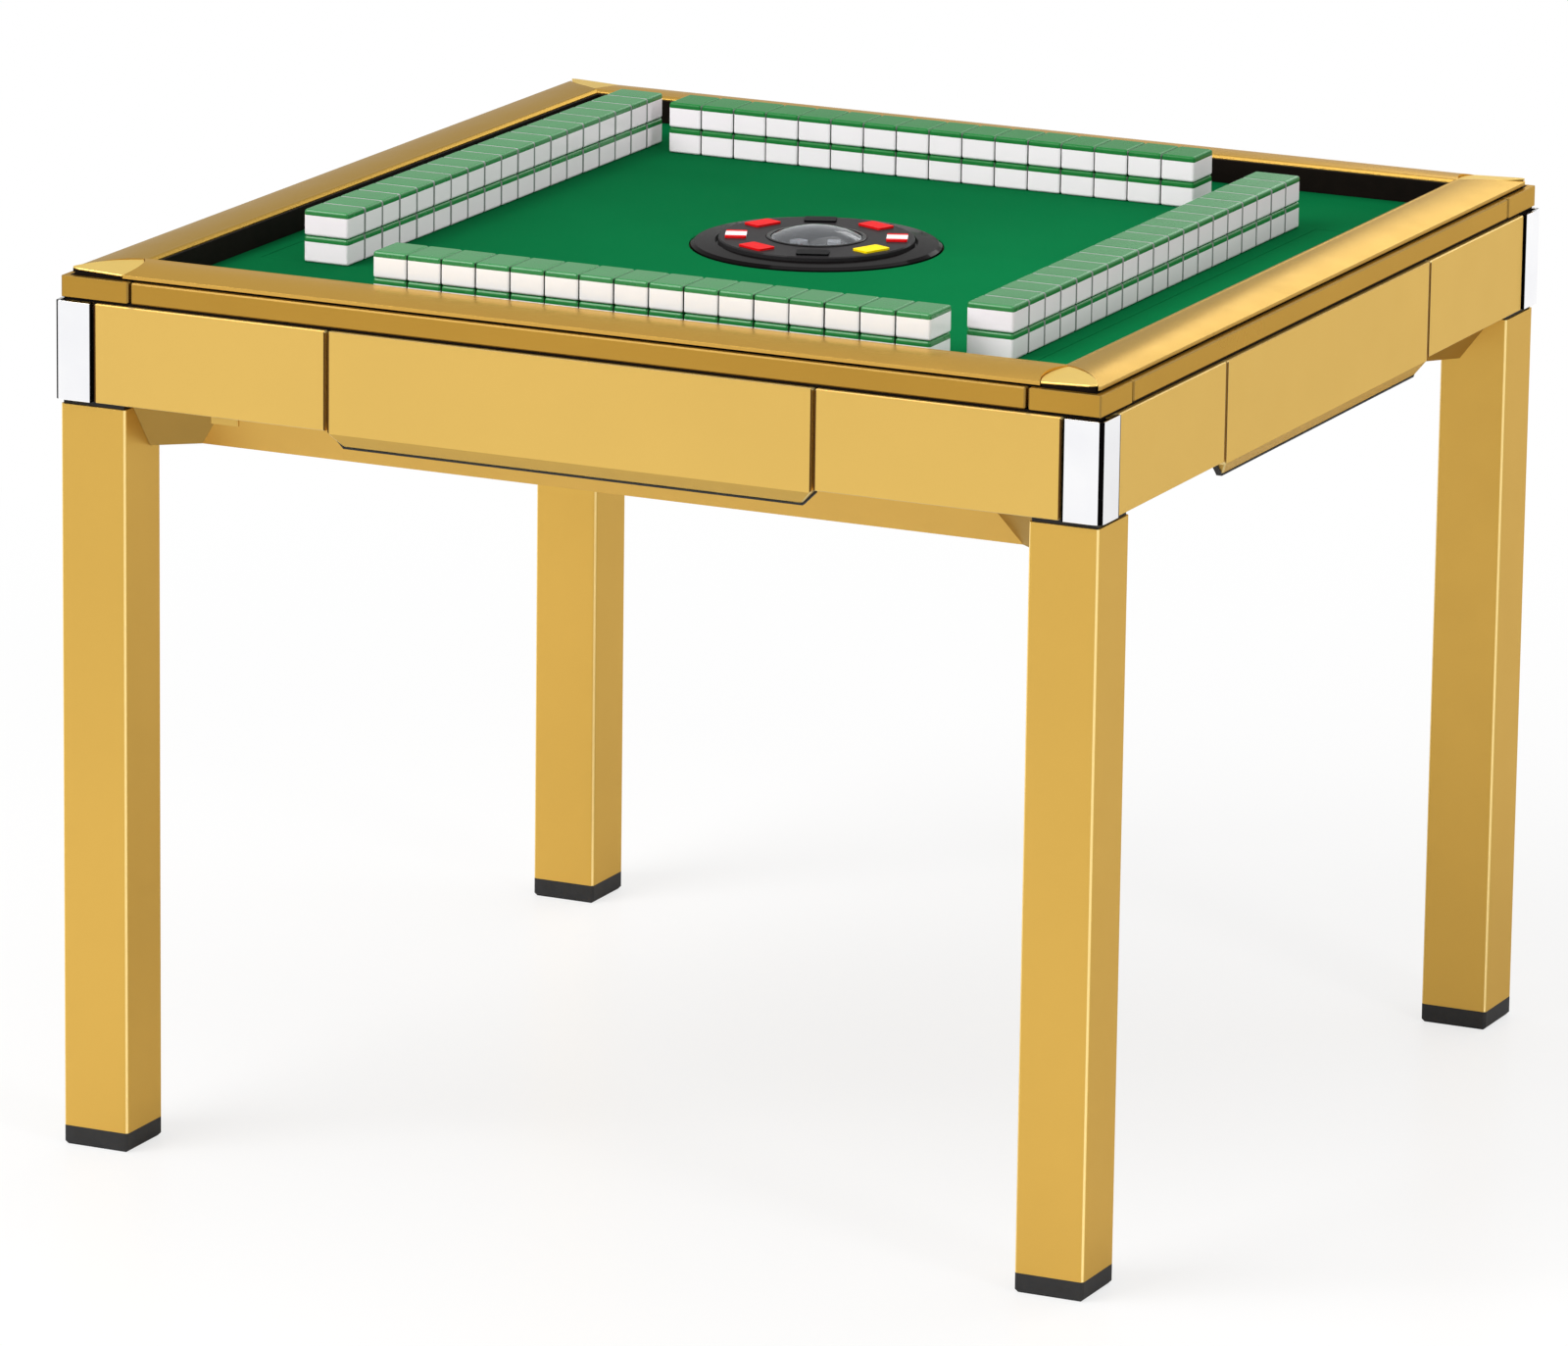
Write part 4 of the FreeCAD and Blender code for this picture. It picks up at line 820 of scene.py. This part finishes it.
def apron_shadow_strip():
    """Black strip in the shadow line between the aprons and the trim bands: painted shadow."""
    low = APRON_TOP + SHADOW_PIECE_GAP
    high = TRIM_BOTTOM - SHADOW_PIECE_GAP
    inner = POST_FACE - APRON_SHADOW_BACK
    outer = POST_FACE - APRON_SHADOW_FRONT
    profile = [(inner, low), (outer, low), (outer, high), (inner, high)]
    add_piece("apron_shadow_strip", square_ring(profile), [LINING], "table", smooth=False)


CLIP_SIZE = (24 * MM, 2.5 * MM, 6.4 * MM)
CLIP_X = -307.5 * MM
CLIP_Y = -431 * MM
CLIP_DROP = 3.1 * MM            # from the bottom of the apron down to the clip
CLIP_ROUND = 0.4 * MM


def tub_clip():
    """Small clip under the tub's flange, by the left end of the front."""
    bm = rounded_box(CLIP_SIZE, CLIP_ROUND, segments=2)
    place = (CLIP_X, CLIP_Y, APRON_BOTTOM - CLIP_DROP - CLIP_SIZE[2] / 2)
    bmesh.ops.translate(bm, vec=place, verts=bm.verts)
    add_piece("tub_clip", bm, [FINISHES["gold_panel"]], "table")


SHADE_STRIP_WIDTH = 5 * MM
SHADE_STRIP_DEPTH = 2 * MM
SHADE_STRIP_ROUND = 0.4 * MM
SHADE_STRIP_OFFSET = 1 * MM          # from the end of the drawer face to the middle of the strip
SHADE_STRIP_BOTTOM = APRON_BOTTOM + 4 * MM
SHADE_STRIP_TOP = APRON_TOP - 0.5 * MM


def drawer_seam_shades(side):
    """Black strips behind the seams at both ends of a drawer face, where the seams are in shade: painted
    shade.
    """
    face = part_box("drawer_face_front")[1]
    size = (SHADE_STRIP_WIDTH, SHADE_STRIP_DEPTH, SHADE_STRIP_TOP - SHADE_STRIP_BOTTOM)
    strip = as_mesh(rounded_box(size, SHADE_STRIP_ROUND, segments=2), "strip")
    y = face.y + SHADE_STRIP_DEPTH / 2 + SHADOW_PIECE_GAP
    bm = bmesh.new()
    for sign in (-1, 1):
        place = (sign * (face.x + SHADE_STRIP_OFFSET), y, (SHADE_STRIP_BOTTOM + SHADE_STRIP_TOP) / 2)
        copy_into(bm, strip, Matrix.Translation(place))
    bpy.data.meshes.remove(strip)
    add_piece("drawer_seam_shades_" + side, turn_to(bm, side), [LINING], "table")


LIP_THICKNESS = 1.4 * MM
LIP_DEPTH = 4.6 * MM
LIP_BACK_GAP = 0.2 * MM         # from the back of the drawer face
DRAWER_CORNER = 11 * MM         # slanted lower corners of a drawer face


def drawer_shadow_lip(side):
    """Black edging along the underside of a drawer face, up both slanted corners: painted shadow of the
    line under the face.
    """
    low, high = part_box("drawer_face_front")
    half = high.x
    flat = half - DRAWER_CORNER
    corner = low.z + DRAWER_CORNER
    under = low.z - LIP_THICKNESS
    under_corner = corner - LIP_THICKNESS * math.sqrt(2)
    reach = LIP_THICKNESS * math.tan(math.radians(22.5))
    upper = [(-half, corner), (-flat, low.z), (flat, low.z), (half, corner)]
    lower = [(half, under_corner), (flat + reach, under), (-flat - reach, under), (-half, under_corner)]
    bm = extruded(upper + lower, LIP_DEPTH)
    bmesh.ops.translate(bm, vec=(0, high.y - LIP_DEPTH - LIP_BACK_GAP, 0), verts=bm.verts)
    add_piece("drawer_shadow_lip_" + side, turn_to(bm, side), [BLACK_RUBBER], "drawer_" + side,
              smooth=False)


def lift_pad(side):
    """Felt stuck on a lift plate, level with the felt round it."""
    low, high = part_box("wall_lift_" + side)
    height = FELT_TOP - high.z - PAD_GAP
    bm = rounded_box((high.x - low.x, high.y - low.y, height), height / 3, segments=2)
    centre = Vector(((low.x + high.x) / 2, (low.y + high.y) / 2, high.z + height / 2))
    bmesh.ops.translate(bm, vec=centre, verts=bm.verts)
    add_piece("lift_pad_" + side, bm, [GREEN_FELT], "lift_" + side)


# ----------------------------------------------------------------------- console
HUB_RADIUS = 5.9 * MM
HUB_HEIGHT = 7.5 * MM
HUB_GAP = 0.02 * MM
COLLAR_GAP = 0.6 * MM
COLLAR_WIDTH = 4 * MM
COLLAR_HEIGHT = 0.8 * MM
DIE_SIZE = 11 * MM
DIE_ROUND = 1.1 * MM
DIE_PLACES = ((13 * MM, 5.5 * MM, 25), (-13 * MM, -5.5 * MM, -20))      # x, y and turn in degrees
PIP_RADIUS = 1.0 * MM
PIP_TOP_RADIUS = 0.6 * MM
PIP_GAP = 0.01 * MM
PIP_RISE = 0.05 * MM
PIP_SPREAD = 2.7 * MM
PIP_STEPS = 16
PIPS = {
    1: [(0, 0)],
    2: [(-1, -1), (1, 1)],
    3: [(-1, -1), (0, 0), (1, 1)],
    4: [(-1, -1), (-1, 1), (1, -1), (1, 1)],
    5: [(-1, -1), (-1, 1), (0, 0), (1, -1), (1, 1)],
    6: [(-1, -1), (-1, 0), (-1, 1), (1, -1), (1, 0), (1, 1)],
}
PIP_TURNS = {
    1: Matrix(),
    2: Matrix.Rotation(math.pi / 2, 4, "X"),
    3: Matrix.Rotation(math.pi / 2, 4, "Y"),
    4: Matrix.Rotation(-math.pi / 2, 4, "Y"),
    5: Matrix.Rotation(-math.pi / 2, 4, "X"),
    6: Matrix.Rotation(math.pi, 4, "X"),
}


def plate_hub():
    """Dark hub in the middle of the dice plate."""
    base = PLATE_TOP + HUB_GAP
    top = base + HUB_HEIGHT
    profile = [(HUB_RADIUS, base), (HUB_RADIUS, base + 1 * MM), (HUB_RADIUS - 0.5 * MM, base + 1.5 * MM),
               (HUB_RADIUS - 1.4 * MM, top - 0.6 * MM), (HUB_RADIUS - 2.0 * MM, top),
               (0.3 * MM, top - 0.8 * MM), (0.3 * MM, base)]
    add_piece("plate_hub", lathe(profile, steps=64), [GLOSS_BLACK], "dice_shaker")


def add_pip(bm, centre, turn):
    """A thin painted disc on one face of a die."""
    top, rim = [], []
    for step in range(PIP_STEPS):
        angle = 2 * math.pi * step / PIP_STEPS
        way = Vector((math.cos(angle), math.sin(angle), 0))
        rise = Vector((0, 0, PIP_RISE))
        top.append(bm.verts.new(turn @ (centre + PIP_TOP_RADIUS * way + rise)))
        rim.append(bm.verts.new(turn @ (centre + PIP_RADIUS * way)))
    prism(bm, top, rim, material=1)


def die_mesh():
    """One die on its face: a rounded cube with its pips."""
    bm = rounded_box((DIE_SIZE, DIE_SIZE, DIE_SIZE), DIE_ROUND)
    for count, turn in PIP_TURNS.items():
        for u, v in PIPS[count]:
            add_pip(bm, Vector((u * PIP_SPREAD, v * PIP_SPREAD, DIE_SIZE / 2 + PIP_GAP)), turn)
    return as_mesh(bm, "die")


def dice_pair():
    template = die_mesh()
    bm = bmesh.new()
    for x, y, degrees in DIE_PLACES:
        place = Vector((x, y, PLATE_TOP + DIE_SIZE / 2))
        copy_into(bm, template, Matrix.Translation(place) @ Matrix.Rotation(math.radians(degrees), 4, "Z"))
    bpy.data.meshes.remove(template)
    piece = add_piece("dice_pair", bm, [TILE_WHITE, KEY_RED], "dice_shaker")
    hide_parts("dice")


def dome_collar():
    """Raised collar on the cover round the dome."""
    inner = DOME_RADIUS + COLLAR_GAP
    outer = inner + COLLAR_WIDTH
    low = CONSOLE_TOP
    high = low + COLLAR_HEIGHT
    profile = [(outer, low), (outer - 1.2 * MM, high), (inner + 0.5 * MM, high),
               (inner, high - 0.3 * MM), (inner, low)]
    add_piece("dome_collar", lathe(profile), [GLOSS_BLACK], "console")


# ------------------------------------------------------------------ run it all
random_source = random.Random(SEED)
dress_frame()
template = tile_template()
for side in SIDES:
    tile_wall(side, template, random_source)
    rail_lining(side)
    lift_pad(side)
    drawer_seam_shades(side)
    drawer_shadow_lip(side)
rail_shadow_sheet()
cap_shadow_block()
apron_shadow_strip()
tub_clip()
bpy.data.meshes.remove(template)
plate_hub()
dice_pair()
dome_collar()


# ------------------------------------------------------------- floor, light, view
FLOOR_SIZE = 9
FLOOR_GREY = (0.8, 0.8, 0.8, 1)
PURE_WHITE = (1, 1, 1, 1)
WORLD_LIGHT = 0.52
BACKDROP_LIGHT = 1.0
AIM = Vector((0, 0, 0.45))              # what the lamps point at

# The photograph's view, fitted to the corners of the top and of the legs.
CAMERA_LENS = 234.03                    # millimetres, for a sensor 36 mm wide
CAMERA_AZIMUTH = math.radians(25.24)
CAMERA_ELEVATION = math.radians(14.38)
CAMERA_ROLL = math.radians(0.76)
CAMERA_SHIFT = -0.02162                 # to the right of the table's middle
CAMERA_TARGET_HEIGHT = 0.34269
CAMERA_DISTANCE = 8.3015


def mix_shaders(nodes, links, factor, first, second):
    node = nodes.new("ShaderNodeMixShader")
    for socket, output in zip(node.inputs, (factor, first, second)):
        links.new(output, socket)
    return node.outputs["Shader"]


def studio_floor():
    """Pale floor that fades into the white backdrop away from the table; clear when seen from below."""
    surface = Surface("studio_floor", roughness=0.32, specular=0.25)
    surface.shader.inputs["Base Color"].default_value = FLOOR_GREY
    nodes, links = surface.nodes, surface.links
    ray = nodes.new("ShaderNodeLightPath").outputs

    def fade(centre, start, end, near=0.0):
        return surface.map_range(surface.distance(centre), start, end, low=near, smooth=True)

    round_table = fade((0, 0, 0), start=0.7, end=2.2, near=0.72)
    seen = surface.math("MULTIPLY", round_table, ray["Is Camera Ray"])
    off_middle = fade((0, 0, 0), start=0.8, end=2.2)
    off_corner = fade((0.9, 0.8, 0), start=0.6, end=2.6)
    away = surface.math("MULTIPLY", off_middle, off_corner)
    mirrored = surface.math("MULTIPLY", away, ray["Is Glossy Ray"])
    share = surface.math("MAXIMUM", seen, mirrored)
    white = nodes.new("ShaderNodeEmission")
    white.inputs["Color"].default_value = PURE_WHITE
    upper = mix_shaders(nodes, links, share, surface.shader.outputs["BSDF"], white.outputs["Emission"])
    underside = nodes.new("ShaderNodeNewGeometry").outputs["Backfacing"]
    clear = nodes.new("ShaderNodeBsdfTransparent").outputs["BSDF"]
    both = mix_shaders(nodes, links, underside, upper, clear)
    links.new(both, nodes["Material Output"].inputs["Surface"])
    bm = bmesh.new()
    bmesh.ops.create_grid(bm, x_segments=8, y_segments=8, size=FLOOR_SIZE)
    mesh = as_mesh(bm, "studio_floor")
    mesh.materials.append(surface.material)
    floor = bpy.data.objects.new("studio_floor", mesh)
    bpy.context.scene.collection.objects.link(floor)


def studio_world():
    """White to the camera and through the dome, softer as a light and in reflections."""
    world = bpy.data.worlds.new("studio_world")
    world.use_nodes = True
    bpy.context.scene.world = world
    nodes, links = world.node_tree.nodes, world.node_tree.links
    ray = nodes.new("ShaderNodeLightPath").outputs
    fill = nodes["Background"]
    fill.inputs["Color"].default_value = PURE_WHITE
    fill.inputs["Strength"].default_value = WORLD_LIGHT
    backdrop = nodes.new("ShaderNodeBackground")
    backdrop.inputs["Color"].default_value = PURE_WHITE
    backdrop.inputs["Strength"].default_value = BACKDROP_LIGHT
    direct = nodes.new("ShaderNodeMath")
    direct.operation = "MAXIMUM"
    links.new(ray["Is Camera Ray"], direct.inputs[0])
    links.new(ray["Is Transmission Ray"], direct.inputs[1])
    both = mix_shaders(nodes, links, direct.outputs[0], fill.outputs[0], backdrop.outputs[0])
    links.new(both, nodes["World Output"].inputs["Surface"])


def softbox(name, place, size, power):
    """A rectangular area light that faces the table."""
    data = bpy.data.lights.new(name, "AREA")
    data.shape = "RECTANGLE"
    data.size, data.size_y = size
    data.energy = power
    lamp = bpy.data.objects.new(name, data)
    lamp.location = place
    lamp.rotation_euler = (AIM - Vector(place)).to_track_quat("-Z", "Y").to_euler()
    bpy.context.scene.collection.objects.link(lamp)


def camera():
    level = math.cos(CAMERA_ELEVATION)
    look = Vector((-math.sin(CAMERA_AZIMUTH) * level, math.cos(CAMERA_AZIMUTH) * level,
                   -math.sin(CAMERA_ELEVATION)))
    right = Vector((math.cos(CAMERA_AZIMUTH), math.sin(CAMERA_AZIMUTH), 0))
    up = right.cross(look)
    across = math.cos(CAMERA_ROLL) * right + math.sin(CAMERA_ROLL) * up
    upright = -math.sin(CAMERA_ROLL) * right + math.cos(CAMERA_ROLL) * up
    place = Vector((0, 0, CAMERA_TARGET_HEIGHT)) - CAMERA_DISTANCE * look + CAMERA_SHIFT * right
    data = bpy.data.cameras.new("camera")
    data.lens = CAMERA_LENS
    data.sensor_width = 36
    data.sensor_fit = "HORIZONTAL"
    data.clip_end = 100
    eye = bpy.data.objects.new("camera", data)
    axes = Matrix((across, upright, -look)).transposed()
    eye.matrix_world = Matrix.Translation(place) @ axes.to_4x4()
    bpy.context.scene.collection.objects.link(eye)
    bpy.context.scene.camera = eye


studio_floor()
studio_world()
softbox("key_light", place=(-2.2, -3.4, 3.8), size=(3.2, 3.2), power=200)
softbox("fill_light", place=(3.9, -1.9, 2.1), size=(0.9, 2.8), power=55)
softbox("top_light", place=(0.4, 1.2, 3.8), size=(3.0, 3.0), power=50)
softbox("edge_light", place=(-1.6, -1.2, 3.9), size=(1.6, 1.4), power=30)
softbox("back_light", place=(0.2, 3.7, 2.2), size=(2.6, 0.8), power=13)
camera()
bpy.context.scene.view_settings.view_transform = "Standard"
